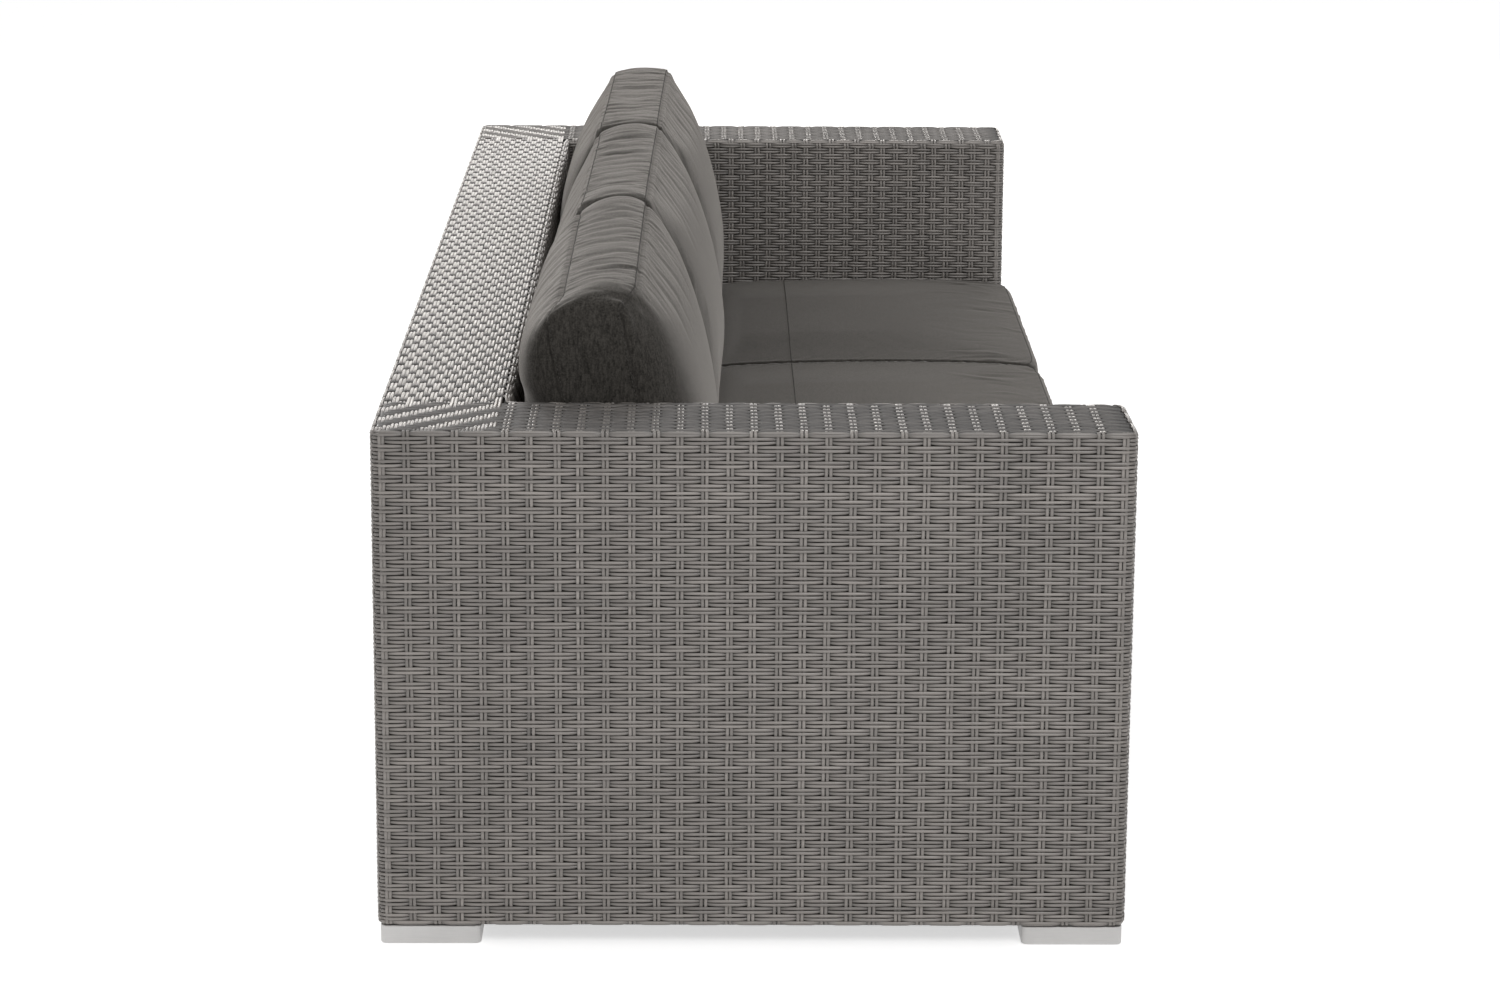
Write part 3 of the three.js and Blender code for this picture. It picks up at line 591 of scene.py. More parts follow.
apron_rows, apron_stakes = round(APRON_DOWN / ROW_PITCH), round(2 * APRON_HALF / STAKE_PITCH)
weave_in_parts(
    "apron_weave", "front_weave", 2, lambda along, down: apron_surface(along - APRON_HALF, down),
    (np.arange(apron_rows), even_places(0, APRON_DOWN, apron_rows)),
    (np.arange(apron_stakes), even_places(0, 2 * APRON_HALF, apron_stakes)),
    2 * APRON_HALF, APRON_DOWN, APRON_SEED,
)


# Dark sheet right behind the strands, painted shade that stands for the dark inside of the walls: how deep
# its two faces lie, and its stations round an edge and a foot
SHADE_SHEET_OUTER = 4.9 * MM
SHADE_SHEET_INNER = 5.15 * MM
SHADE_SHEET_LAP = 1 * MM
APRON_SHADE_SHEET_TUCK = 12 * MM
EDGE_STATIONS = 5
FOOT_STATIONS = 4
shade_sheets = []


def shade_sheet_skin(surface, along, across):
    """A thin closed sheet under a surface: its points and faces."""
    points, normals = surface(*np.meshgrid(along, across, indexing="ij"))
    layers = np.stack([points - normals * SHADE_SHEET_OUTER, points - normals * SHADE_SHEET_INNER])
    top, base = np.arange(layers[..., 0].size).reshape(layers.shape[:3])

    def quads(a, b, c, d):
        return np.stack([x.ravel() for x in (a, b, c, d)], axis=-1)

    faces = [
        quads(top[:-1, :-1], top[1:, :-1], top[1:, 1:], top[:-1, 1:]),
        quads(base[:-1, 1:], base[1:, 1:], base[1:, :-1], base[:-1, :-1]),
        quads(top[:-1, -1], top[1:, -1], base[1:, -1], base[:-1, -1]),
        quads(base[:-1, 0], base[1:, 0], top[1:, 0], top[:-1, 0]),
        quads(base[0, :-1], top[0, :-1], top[0, 1:], base[0, 1:]),
        quads(top[-1, :-1], base[-1, :-1], base[-1, 1:], top[-1, 1:]),
    ]
    return layers.reshape(-1, 3), np.concatenate(faces)


def build_shade_sheet(name, sheets, node):
    points, faces, first = [], [], 0
    for surface, along, across in sheets:
        sheet_points, sheet_faces = shade_sheet_skin(surface, np.array(along), np.array(across))
        points.append(sheet_points)
        faces.append(sheet_faces + first)
        first += len(sheet_points)
    points, faces = np.concatenate(points), np.concatenate(faces)
    spread = points - points.min(0)
    uvs = (spread[:, [0, 2]] + spread[:, [1, 1]]) / spread.max(0).sum()
    piece = mesh_from_arrays(name, points, faces.ravel(), np.full(len(faces), 4), uvs[faces.ravel()], {})
    piece.data.polygons.foreach_set("use_smooth", np.zeros(len(faces), bool))
    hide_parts(node)
    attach(piece, "sofa")
    shade_sheets.append(piece)


def wall_shade_sheet(name):
    wall = [entry[0] for entry in WALLS].index(name)
    length = wall_direction(wall)[1]
    start, end = corner_of(wall)[2], corner_of(wall + 1)[2]
    spans = ((0, start), (length - end, length))
    along = np.concatenate([np.linspace(*span, EDGE_STATIONS) for span in spans])
    if name in INNER_WALLS:
        return wall_surface(wall), along, [*np.linspace(0, INNER_TOP_ARC, EDGE_STATIONS), INNER_DOWN]
    foot = OUTER_DOWN - FOLD - BOTTOM_ARC
    down = [
        *np.linspace(0, TOP_ARC, EDGE_STATIONS),
        *np.linspace(foot, foot + BOTTOM_ARC, FOOT_STATIONS), OUTER_DOWN,
    ]
    return wall_surface(wall), along, down


def build_shade_sheets():
    for side, name in ((-1, "right"), (1, "left")):
        parts = [wall_shade_sheet(f"{name}_{part}") for part in ("front", "side", "inner")]
        flat = (FRONT_Y + TOP_ROUND - SHADE_SHEET_LAP, FLAT_Y[0])
        parts.append((level_top, sorted(-side * x for x in FLAT_X), flat))
        build_shade_sheet(f"{name}_arm_shade_sheet", parts, f"arm_weave_{name}")
    top = (level_top, (FLAT_X[0], -FLAT_X[0]), FLAT_Y)
    build_shade_sheet("back_shade_sheet", [wall_shade_sheet("rear"), wall_shade_sheet("back_face"), top], "back_weave")
    foot = APRON_DOWN - FOLD - BOTTOM_ARC
    across = [
        0, *(LEDGE + np.linspace(0, TOP_ARC, EDGE_STATIONS)),
        *np.linspace(foot, foot + BOTTOM_ARC, FOOT_STATIONS), APRON_DOWN,
    ]
    reach = APRON_HALF + APRON_SHADE_SHEET_TUCK
    build_shade_sheet("apron_shade_sheet", [(apron_surface, (-reach, reach), across)], "front_weave")


build_shade_sheets()


# Finishes: the dark and the light end of each material's colour
STRAND_COLOURS = (0.07, 0.063, 0.058), (0.5, 0.457, 0.422)
# Colour of the painted shade at the strands' edges and dips
STRAND_PAINTED_SHADE_COLOUR = (0.02, 0.018, 0.016)
CLOTH_COLOURS = (0.0205, 0.0195, 0.0168), (0.089, 0.0818, 0.0735)
# Colour of the painted shade in the cushions' seams
CLOTH_SEAM_SHADE_COLOUR = (0.012, 0.011, 0.01)
THREAD_COLOURS = (0.03, 0.028, 0.025), (0.07, 0.065, 0.058)
# The near-black colours of the sheet behind the strands, painted shade for the dark inside of the walls
SHADE_SHEET_COLOURS = (0.01, 0.009, 0.008), (0.03, 0.027, 0.025)
POWDER_COAT_COLOURS = (0.055, 0.05, 0.046), (0.09, 0.084, 0.078)
FOOT_COLOURS = (0.52, 0.51, 0.5), (0.72, 0.71, 0.7)
ZINC_COLOURS = (0.35, 0.35, 0.34), (0.6, 0.6, 0.58)
RUBBER_COLOURS = (0.018, 0.017, 0.016), (0.045, 0.043, 0.04)
WEBBING_COLOURS = (0.03, 0.028, 0.026), (0.12, 0.11, 0.1)
ZIP_COLOURS = (0.03, 0.028, 0.026), (0.13, 0.12, 0.11)
FOAM_COLOURS = (0.62, 0.6, 0.54), (0.85, 0.83, 0.77)
# Threads of the cloth and thicker places in them: the noise's scale on each axis
WARP, WEFT = (1500.0, 400.0, 90.0), (90.0, 1500.0, 1500.0)
WARP_SLUB, WEFT_SLUB = (520.0, 300.0, 110.0), (110.0, 520.0, 520.0)
# Painted shade along the seams: half width of a band's seam and of the cross seam, and how dark the shade
# painted in each is
SEAM_HALF, CROSS_SEAM_HALF = 2.0 * MM, 1.6 * MM
SEAM_PAINTED_SHADE, CROSS_SEAM_PAINTED_SHADE = 0.45, 0.08
# The Mix node's sockets for colours, which share their names with its other sockets
MIX_FACTOR, MIX_FIRST, MIX_SECOND, MIX_RESULT = 0, 6, 7, 2


class Value:
    """A socket of a finish. Python's operators on values add Math nodes."""

    def __init__(self, finish, socket):
        self.finish = finish
        self.socket = socket

    def __add__(self, other):
        return self.finish.math("ADD", self, other)

    def __sub__(self, other):
        return self.finish.math("SUBTRACT", self, other)

    def __mul__(self, other):
        return self.finish.math("MULTIPLY", self, other)

    def __truediv__(self, other):
        return self.finish.math("DIVIDE", self, other)

    def __pow__(self, other):
        return self.finish.math("POWER", self, other)

    def __rsub__(self, other):
        return self.finish.math("SUBTRACT", other, self)

    __radd__ = __add__

    def greatest(self, other):
        return self.finish.math("MAXIMUM", self, other)

    def clamped(self):
        return self.finish.node("Clamp", {}, {"Value": self})


def swing(pattern, by):
    """A pattern that lies round a half, moved to lie round nothing, and made stronger or weaker."""
    return (pattern - 0.5) * by


class Finish:
    """A material and its nodes, or those of the holder when one is given, such as the world."""

    def __init__(self, name, holder=None, shader="Principled BSDF", **constants):
        self.material = holder or bpy.data.materials.new(name)
        self.material.use_nodes = True
        self.tree = self.material.node_tree
        self.shader = self.tree.nodes[shader]
        for key, value in constants.items():
            self.shader.inputs[key.replace("_", " ")].default_value = value

    def node(self, kind, settings, values, output=0):
        """One of a new node's outputs, once its settings and the values or links of its sockets are set."""
        made = self.tree.nodes.new("ShaderNode" + kind)
        for key, value in settings.items():
            setattr(made, key, value)
        for key, value in values.items():
            if isinstance(value, Value):
                self.tree.links.new(value.socket, made.inputs[key])
            else:
                made.inputs[key].default_value = value
        return Value(self, made.outputs[output])

    def math(self, operation, *values):
        return self.node("Math", dict(operation=operation), dict(enumerate(values)))

    def link(self, name, value):
        self.tree.links.new(value.socket, self.shader.inputs[name])

    def colours(self, factor, first, second):
        def whole(colour):
            return (*colour, 1.0) if isinstance(colour, tuple) else colour

        sockets = {MIX_FACTOR: factor, MIX_FIRST: whole(first), MIX_SECOND: whole(second)}
        return self.node("Mix", dict(data_type="RGBA"), sockets, MIX_RESULT)

    def noise(self, place, scale, detail=2.0, roughness=0.5):
        sockets = {"Vector": place, "Scale": scale, "Detail": detail, "Roughness": roughness}
        return self.node("TexNoise", {}, sockets)

    def drawn(self, place, scales, detail=2.0, roughness=0.5):
        """Noise drawn out, with a scale for each axis."""
        scaled = self.node("VectorMath", dict(operation="MULTIPLY"), {0: place, 1: scales})
        return self.noise(scaled, 1.0, detail, roughness)

    def ribs(self, place, way, scale, distortion=0.0):
        sockets = {"Vector": place, "Scale": scale, "Distortion": distortion}
        return self.node("TexWave", dict(bands_direction=way), sockets)

    def attribute(self, name):
        return self.node("Attribute", dict(attribute_name=name), {}, "Fac")

    def place(self):
        return self.node("TexCoord", {}, {}, "Object")

    def panel(self):
        return self.node("UVMap", dict(uv_map="OFBake"), {})

    def seen(self):
        """1 where the camera sees it, straight or through a mirroring or clear surface, and 0 as a light."""
        camera, glossy, clear = (
            self.node("LightPath", {}, {}, f"Is {ray} Ray") for ray in ("Camera", "Glossy", "Transmission")
        )
        return camera.greatest(glossy).greatest(clear)

    def bump(self, height, distance, strength):
        sockets = {"Height": height, "Distance": distance, "Strength": strength}
        self.link("Normal", self.node("Bump", {}, sockets))


def paint(piece, finish):
    piece.data.materials.clear()
    piece.data.materials.append(finish.material)


def rattan_finish():
    """Extruded plastic strand: tone from strand to strand, drawn streaks along it, and painted shade that
    darkens its edges and its dips.
    """
    finish = Finish("rattan_strand", Specular_IOR_Level=0.7)
    tone, deep, edge = (finish.attribute(name) for name in ("tone", "deep", "edge"))
    cloud = finish.noise(finish.place(), scale=9.0, detail=3.0)
    streak = finish.drawn(finish.panel(), scales=(60.0, 3000.0, 1.0))
    tone_step, middle, edge_power, edge_painted_shade, dip_painted_shade, roughness = 0.085, 0.56, 1.5, 0.88, 0.75, 0.33
    level = (tone * tone_step + middle + swing(cloud, by=0.35) + swing(streak, by=0.4)).clamped()
    # Painted shade: the strand is darkened toward the shade colour at its edges and where it dips, as the
    # shade between strands would darken it
    lit = (1 - edge ** edge_power * edge_painted_shade) * (1 - deep * dip_painted_shade)
    base = finish.colours(level, *STRAND_COLOURS)
    finish.link("Base Color", finish.colours(lit, STRAND_PAINTED_SHADE_COLOUR, base))
    finish.link("Roughness", roughness - swing(streak, by=0.2))
    finish.bump(streak, distance=0.25 * MM, strength=0.5)
    return finish


def cloth_finish():
    """Coarse woven cloth with slubs both ways, a little cloudy, and with shade painted dark along its seams.
    """
    finish = Finish(
        "cushion_cloth", Roughness=0.95, Specular_IOR_Level=0.1,
        Sheen_Weight=0.6, Sheen_Roughness=0.4, Sheen_Tint=(1.0, 0.95, 0.9, 1.0),
    )
    place = finish.place()
    warp, weft = (finish.drawn(place, scales, detail=3.0) for scales in (WARP, WEFT))
    slubs = finish.drawn(place, WARP_SLUB) + finish.drawn(place, WEFT_SLUB)
    middle, slub_middle, slub_contrast = 0.5, 1.0, 1.4
    cloud = finish.noise(place, scale=14.0, detail=3.0)
    threads = swing(warp, by=1.0) + swing(weft, by=1.0)
    level = (middle + threads + (slubs - slub_middle) * slub_contrast + swing(cloud, by=0.35)).clamped()
    # Painted shade: a dark line along each seam and, fainter, along the cross seam, where the grooves lie
    seam = (1.0 - finish.attribute("seam_gap") / SEAM_HALF).clamped()
    cross_seam = (1.0 - finish.attribute("cross_gap") / CROSS_SEAM_HALF).clamped()
    line = (seam + cross_seam * CROSS_SEAM_PAINTED_SHADE) * SEAM_PAINTED_SHADE
    base = finish.colours(level, *CLOTH_COLOURS)
    finish.link("Base Color", finish.colours(line.clamped(), base, CLOTH_SEAM_SHADE_COLOUR))
    finish.bump(warp + weft, distance=0.3 * MM, strength=0.4)
    return finish


def thread_finish():
    finish = Finish("sewing_thread", Roughness=0.7, Specular_IOR_Level=0.3)
    twist = finish.noise(finish.place(), scale=1800.0, detail=1.0)
    finish.link("Base Color", finish.colours(twist, *THREAD_COLOURS))
    return finish


# A near-black sheet behind the weave, painted shade that stands for the dark inside of the walls
def shade_sheet_finish():
    finish = Finish("painted_shade_sheet", Roughness=0.9, Specular_IOR_Level=0.1)
    grain = finish.noise(finish.place(), scale=900.0)
    finish.link("Base Color", finish.colours(grain, *SHADE_SHEET_COLOURS))
    return finish


def metal_finish(name, colours, roughness, scales, metallic):
    """Metal with a drawn or brushed grain, whose scale differs from axis to axis."""
    finish = Finish(name, Metallic=metallic)
    grain = finish.drawn(finish.place(), scales, detail=4.0, roughness=0.6)
    wear = finish.noise(finish.place(), scale=40.0, detail=3.0)
    grain_share, wear_share = 0.6, 0.4
    finish.link("Base Color", finish.colours(grain * grain_share + wear * wear_share, *colours))
    finish.link("Roughness", roughness + swing(grain, by=0.25))
    finish.bump(grain, distance=0.06 * MM, strength=0.5)
    return finish


def rubber_finish():
    finish = Finish("glide_rubber", Specular_IOR_Level=0.3)
    grain = finish.noise(finish.place(), scale=1500.0, detail=3.0)
    finish.link("Base Color", finish.colours(grain, *RUBBER_COLOURS))
    smoothest, rougher = 0.75, 0.2
    finish.link("Roughness", smoothest + grain * rougher)
    finish.bump(grain, distance=0.1 * MM, strength=0.4)
    return finish


def webbing_finish():
    """Strap with ribs along its length both ways, and flecks in the yarn."""
    finish = Finish("strap_webbing", Roughness=0.85, Specular_IOR_Level=0.25)
    place = finish.place()
    rib, rib_across = (finish.ribs(place, way, scale=160.0, distortion=0.4) for way in ("X", "Y"))
    fleck = finish.noise(place, scale=700.0)
    rib_share, fleck_share = 0.3, 0.4
    level = rib * rib_share + rib_across * rib_share + fleck * fleck_share
    finish.link("Base Color", finish.colours(level, *WEBBING_COLOURS))
    finish.bump(rib + rib_across, distance=0.3 * MM, strength=0.6)
    return finish


def zip_finish():
    finish = Finish("zip_plastic", Specular_IOR_Level=0.4)
    tooth = finish.ribs(finish.place(), "X", scale=210.0)
    fleck = finish.noise(finish.place(), scale=500.0)
    tooth_share, fleck_share, smoothest, rougher = 0.7, 0.3, 0.4, 0.2
    finish.link("Base Color", finish.colours(tooth * tooth_share + fleck * fleck_share, *ZIP_COLOURS))
    finish.link("Roughness", smoothest + fleck * rougher)
    finish.bump(tooth, distance=0.4 * MM, strength=0.8)
    return finish


def foam_finish():
    finish = Finish("cushion_foam", Roughness=1.0, Specular_IOR_Level=0.1)
    cell = finish.node("TexVoronoi", {}, {"Vector": finish.place(), "Scale": 900.0})
    finish.link("Base Color", finish.colours(cell, *FOAM_COLOURS))
    finish.bump(cell, distance=0.4 * MM, strength=0.6)
    return finish


CAD_FINISHES = {
    "webbing": webbing_finish(),
    "frame_metal": metal_finish(
        "frame_powder_coat", POWDER_COAT_COLOURS, roughness=0.55, scales=(900, 900, 900), metallic=0.0,
    ),
    "foot_metal": metal_finish(
        "brushed_foot_metal", FOOT_COLOURS, roughness=0.4, scales=(30, 30, 1600), metallic=0.45,
    ),
    "fastener_steel": metal_finish(
        "zinc_steel", ZINC_COLOURS, roughness=0.4, scales=(700, 700, 700), metallic=0.9,
    ),
    "glide_rubber": rubber_finish(),
    "zip_plastic": zip_finish(),
    "cushion_foam": foam_finish(),
}
rattan, painted_shade_finish, cushion_cloth, thread = rattan_finish(), shade_sheet_finish(), cloth_finish(), thread_finish()
for piece in weave_pieces:
    paint(piece, rattan)
for piece in shade_sheets:
    paint(piece, painted_shade_finish)
for subpart in frame["record"]["subparts"]:
    if subpart["material_slot"] in CAD_FINISHES:
        for material_slot in frame["nodes"][subpart["node"]].material_slots:
            material_slot.material = CAD_FINISHES[subpart["material_slot"]].material


# Cushions: panels sewn edge to edge, blown up as cloth, then pressed flat where they rest
CUSHION_CENTRES = {"right": -639 * MM, "middle": 0.0, "left": 639 * MM}
CUSHION_HALF = 318.75 * MM
# Faces of each panel: across the cushion, up its front and its rear, and over its top and its base
PANEL_FACES = {"back": dict(across=103, tall=51, deep=13), "seat": dict(across=77, tall=12, deep=78)}
SEAT_BASE_Z, SEAT_SEAM_Z, SEAT_CROWN = DECK_Z + FIT_GAP, DECK_Z + 100 * MM, 9 * MM
SEAT_FRONT_Y, SEAT_REAR_Y, SEAT_CROSS_SEAM_Y = -427.5 * MM, 278.5 * MM, -62.5 * MM
BACK_BASE_Z, BACK_HEIGHT, BACK_CROWN = SEAT_SEAM_Z + FIT_GAP, 335 * MM, 13 * MM
BACK_SEAM_Y, BACK_REAR_SEAM_Y = 154.5 * MM, 242.5 * MM
# The back cushions rest on the seat cushions from this line on, and their rear stays before the wall
REST_Y = 36.5 * MM
WALL_Y = 278.4 * MM

# A seat cushion: how far its front and rear edges stand out between their seams, how far and how sharply its
# ends draw in, how much its crown falls to its ends, and the places of its two controls, as shares of the
# way from the front seam to the resting line
SEAT_EDGE = 7 * MM
SEAT_DRAW, SEAT_DRAW_POWER = 14 * MM, 16
CROWN_FALL = 0.15
CROWN_FRONT, CROWN_REST = 0.1, 0.3
# The middle of a curve with four controls rises three quarters as far as its two middle controls
CONTROL_RISE = 4 / 3

# A back cushion: the rounding of its foot and the share of it at its ends, and the height of its shoulder
BACK_FOOT, END_FOOT = 26 * MM, (0.6, 0.4)
SHOULDER = 0.55
# How square the ends of its rear are at least, right and left
REAR_SQUARE = (14, 6)
# Its rear, tucked in behind the rail's edge or free: the bulge's height over the rail, and how far the round
# below the seam goes out, as a share of the bulge, and down
TUCKED_REAR = dict(bulge=18 * MM, out=0.6, down=16 * MM)
FREE_REAR = dict(bulge=-72 * MM, out=0.3, down=34 * MM)
# From the bulge down to the rail's edge, how softly the tuck starts, and where it is held, let out and ends
# below the edge
EDGE_DOWN, TUCK_EASE = 34 * MM, 15 * MM
TUCK_HELD, TUCK_FREED, TUCK_END = 20 * MM, 36 * MM, 56 * MM
# The corners of its top: where they start and how long they are, across and up, as shares
CORNER_START, CORNER_RUN = 0.78, 0.22
HIGH_START, HIGH_RUN = 0.6, 0.4
# The back cushions one by one. Pairs are for the right and the left end, and lengths are in millimetres.
# ends: how far the band sits forward; lean: how much further it does at its foot
# front, rear: how far the front and the rear swell
# square: how square the two ends are, and those that press on another cushion are squarer
# drop: how much lower the rear seam lies; sink, back: how far the top corners sink and are set back
# tuck: how far the rear is tucked in under its bulge
# rise: how far the top's middle control stands over the front seam
# knee: where the front's curve turns to its seam, as a share of the way back and a distance below it
BACK_SET = {
    "right": dict(
        ends=(17, 20), lean=20, front=(66, 71), rear=(50, 44), square=(6, 40), drop=12,
        sink=(4, 0), back=(18, 0), tuck=7, rise=24, knee=(0.46, 38),
    ),
    "middle": dict(
        ends=(19, 27), lean=12, front=(75, 80), rear=(51, 50), square=(40, 40), drop=10,
        sink=(0, 0), back=(0, 0), tuck=0, rise=18, knee=(0.51, 50),
    ),
    "left": dict(
        ends=(26, 34), lean=6, front=(79, 79), rear=(56, 58), square=(40, 6), drop=4,
        sink=(0, 2), back=(0, 0), tuck=0, rise=10, knee=(0.53, 55),
    ),
}


def bezier(controls, share):
    """Points of curves whose controls have the shape (control, curve, 2), at shares of the parameter."""
    controls = [np.asarray(control)[:, None, :] for control in controls]
    share = share[None, :, None]
    while len(controls) > 1:
        controls = [a + (b - a) * share for a, b in zip(controls, controls[1:])]
    return controls[0]


def joined(*parts):
    return np.concatenate([parts[0]] + [part[:, 1:] for part in parts[1:]], axis=1)


def pairs(y, z):
    y, z = np.broadcast_arrays(np.asarray(y, float), np.asarray(z, float))
    return np.stack([y, z], axis=-1)


def spaced(points, shares):
    """One point of each curve at its share of the length, the distance walked to it, and the length."""
    steps = np.linalg.norm(np.diff(points, axis=1), axis=2)
    walked = np.concatenate([np.zeros((len(steps), 1)), np.cumsum(steps, axis=1)], axis=1)
    found = np.empty((len(points), 2))
    wanted = shares * walked[:, -1]
    for row in range(len(points)):
        for axis in (0, 1):
            found[row, axis] = np.interp(wanted[row], walked[row], points[row, :, axis])
    return found, wanted, walked[:, -1]


FINE = np.linspace(0, 1, 25)


def fullness(a, square):
    """How far a back cushion has filled out, 0 at its ends and 1 at its middle."""
    return np.sqrt(1 - np.clip(np.abs(a), 0, 1) ** np.where(a < 0, square[0], square[1]))


def swollen(a, swell):
    """How far a back cushion swells out, from its right end to its left one."""
    return (swell[0] + (swell[1] - swell[0]) * (a + 1) / 2) * MM


def back_seam_height(a, square):
    return BACK_BASE_Z + BACK_HEIGHT + BACK_CROWN * fullness(a, square)


def foot_reach(full, room):
    """How far a back cushion's rounded foot reaches in, no further than the room that it has."""
    return np.minimum(BACK_FOOT * (END_FOOT[0] + END_FOOT[1] * full), room)


def back_front_curve(a, swell, square, knee):
    full = fullness(a, square)
    front = BACK_SEAM_Y - swollen(a, swell) * full
    seam = back_seam_height(a, square)
    toe = front + foot_reach(full, BACK_SEAM_Y - front)
    base = np.full(a.shape, BACK_BASE_Z)
    foot = base + BACK_FOOT
    shoulder = base + BACK_HEIGHT * SHOULDER
    bend = pairs(front + (BACK_SEAM_Y - front) * knee[0], seam - knee[1] * MM)
    return joined(
        bezier([pairs(BACK_SEAM_Y, base), pairs(toe, base)], FINE),
        bezier([pairs(toe, base), pairs(front, base), pairs(front, foot)], FINE),
        bezier([pairs(front, foot), pairs(front, shoulder), bend, pairs(BACK_SEAM_Y, seam)], FINE),
    )


def back_top_curve(a, drop, square, rise):
    seam = back_seam_height(a, square)
    middle = (BACK_SEAM_Y + BACK_REAR_SEAM_Y) / 2
    controls = [
        pairs(BACK_SEAM_Y, seam), pairs(middle, seam + rise * MM),
        pairs(BACK_REAR_SEAM_Y, seam - drop),
    ]
    return bezier(controls, FINE)


def back_rear_curve(a, swell, drop, square, tuck):
    """The rear bulges out below its seam. With a tuck it comes in again at the edge of the back rail."""
    full = fullness(a, np.maximum(square, REAR_SQUARE))
    out = swollen(a, swell) * full
    rear = BACK_REAR_SEAM_Y + out
    tucked = rear - tuck * full
    seam = back_seam_height(a, square) - drop
    heel = rear - foot_reach(full, out)
    base = np.full(a.shape, BACK_BASE_Z)
    foot = base + BACK_FOOT
    set_at = TUCKED_REAR if tuck else FREE_REAR
    bulge = ARM_TOP_Z + set_at["bulge"]
    edge = bulge - EDGE_DOWN
    turn = pairs(BACK_REAR_SEAM_Y + out * set_at["out"], seam - set_at["down"])
    runs = [
        (pairs(BACK_REAR_SEAM_Y, seam), turn, pairs(rear, (seam + bulge) / 2), pairs(rear, bulge)),
        (pairs(rear, bulge), pairs(rear, bulge - TUCK_EASE), pairs(tucked, edge + TUCK_EASE),
         pairs(tucked, edge)),
        (pairs(tucked, edge), pairs(tucked, edge - TUCK_HELD), pairs(rear, edge - TUCK_FREED),
         pairs(rear, edge - TUCK_END)),
        (pairs(rear, edge - TUCK_END), pairs(rear, foot)),
        (pairs(rear, foot), pairs(rear, base), pairs(heel, base)),
        (pairs(heel, base), pairs(BACK_REAR_SEAM_Y, base)),
    ]
    return joined(*(bezier(run, FINE) for run in runs))


def back_base_curve(a):
    base = np.full(a.shape, BACK_BASE_Z)
    return bezier([pairs(BACK_SEAM_Y, base), pairs(BACK_REAR_SEAM_Y, base)], FINE)


def seat_edges(a):
    drawn = SEAT_DRAW * np.abs(a) ** SEAT_DRAW_POWER
    return SEAT_FRONT_Y + drawn, SEAT_REAR_Y - drawn


def seat_front_curve(a):
    front, _ = seat_edges(a)
    seam = front + SEAT_EDGE
    middle = (SEAT_BASE_Z + SEAT_SEAM_Z) / 2
    bulge = pairs(front - SEAT_EDGE, middle)
    return bezier([pairs(seam, SEAT_BASE_Z), bulge, pairs(seam, SEAT_SEAM_Z)], FINE)


def seat_rear_curve(a):
    _, rear = seat_edges(a)
    seam = rear - SEAT_EDGE
    middle = (SEAT_BASE_Z + SEAT_SEAM_Z) / 2
    bulge = pairs(rear + SEAT_EDGE, middle)
    return bezier([pairs(seam, SEAT_SEAM_Z), bulge, pairs(seam, SEAT_BASE_Z)], FINE)


def seat_top_curve(a):
    front, rear = seat_edges(a)
    seam = front + SEAT_EDGE
    crown = SEAT_SEAM_Z + SEAT_CROWN * (1 - CROWN_FALL * a ** 2) * CONTROL_RISE
    pull = REST_Y - seam
    rest = pairs(REST_Y + 0 * a, SEAT_SEAM_Z)
    crown_front = pairs(seam + CROWN_FRONT * pull, crown)
    crown_rest = pairs(REST_Y - CROWN_REST * pull, crown)
    return joined(
        bezier([pairs(seam, SEAT_SEAM_Z), crown_front, crown_rest, rest], FINE),
        bezier([rest, pairs(rear - SEAT_EDGE, SEAT_SEAM_Z)], FINE),
    )


def seat_base_curve(a):
    front, rear = seat_edges(a)
    return bezier([pairs(front + SEAT_EDGE, SEAT_BASE_Z), pairs(rear - SEAT_EDGE, SEAT_BASE_Z)], FINE)


# Stations tried for the even spacing, crowded toward the ends by this power
TRIED_STATIONS, TRIED_POWER = 600, 3
# How softly the even spacing of a panel's middle gives way to that of its edges
SPREAD_POWER = 0.6


def spread_stations(curve, count):
    """Stations from -1 to 1 that are evenly spaced along the middle of a swelling panel."""
    fine = 1 - np.linspace(1, 0, TRIED_STATIONS) ** TRIED_POWER
    even = np.linspace(-1, 1, count + 1)
    found = np.empty_like(even)
    for side in (-1, 1):
        middle, _, _ = spaced(curve(side * fine), np.full(len(fine), 0.5))
        steps = np.hypot(np.diff(fine) * CUSHION_HALF, np.linalg.norm(np.diff(middle, axis=0), axis=1))
        walked = np.concatenate([[0], np.cumsum(steps)])
        mine = side * even >= 0
        found[mine] = side * np.interp(side * even[mine] * walked[-1], walked, fine)
    return found


def panel_grid(curve, edge_stations, middle_stations, count):
    """A panel's points (station, share, 3), its distance round the section, and each curve's whole length."""
    shares = np.linspace(0, 1, count + 1)
    if middle_stations is None:
        a = np.broadcast_to(edge_stations[:, None], (len(edge_stations), count + 1))
    else:
        weight = np.sin(np.pi * shares) ** SPREAD_POWER
        a = edge_stations[:, None] * (1 - weight) + middle_stations[:, None] * weight
    both = np.broadcast_to(shares, a.shape)
    found, walked, whole = spaced(curve(a.ravel()), both.ravel())
    points = np.concatenate([(a.ravel() * CUSHION_HALF)[:, None], found], axis=1)
    return points.reshape(*a.shape, 3), walked.reshape(a.shape), whole.reshape(a.shape)


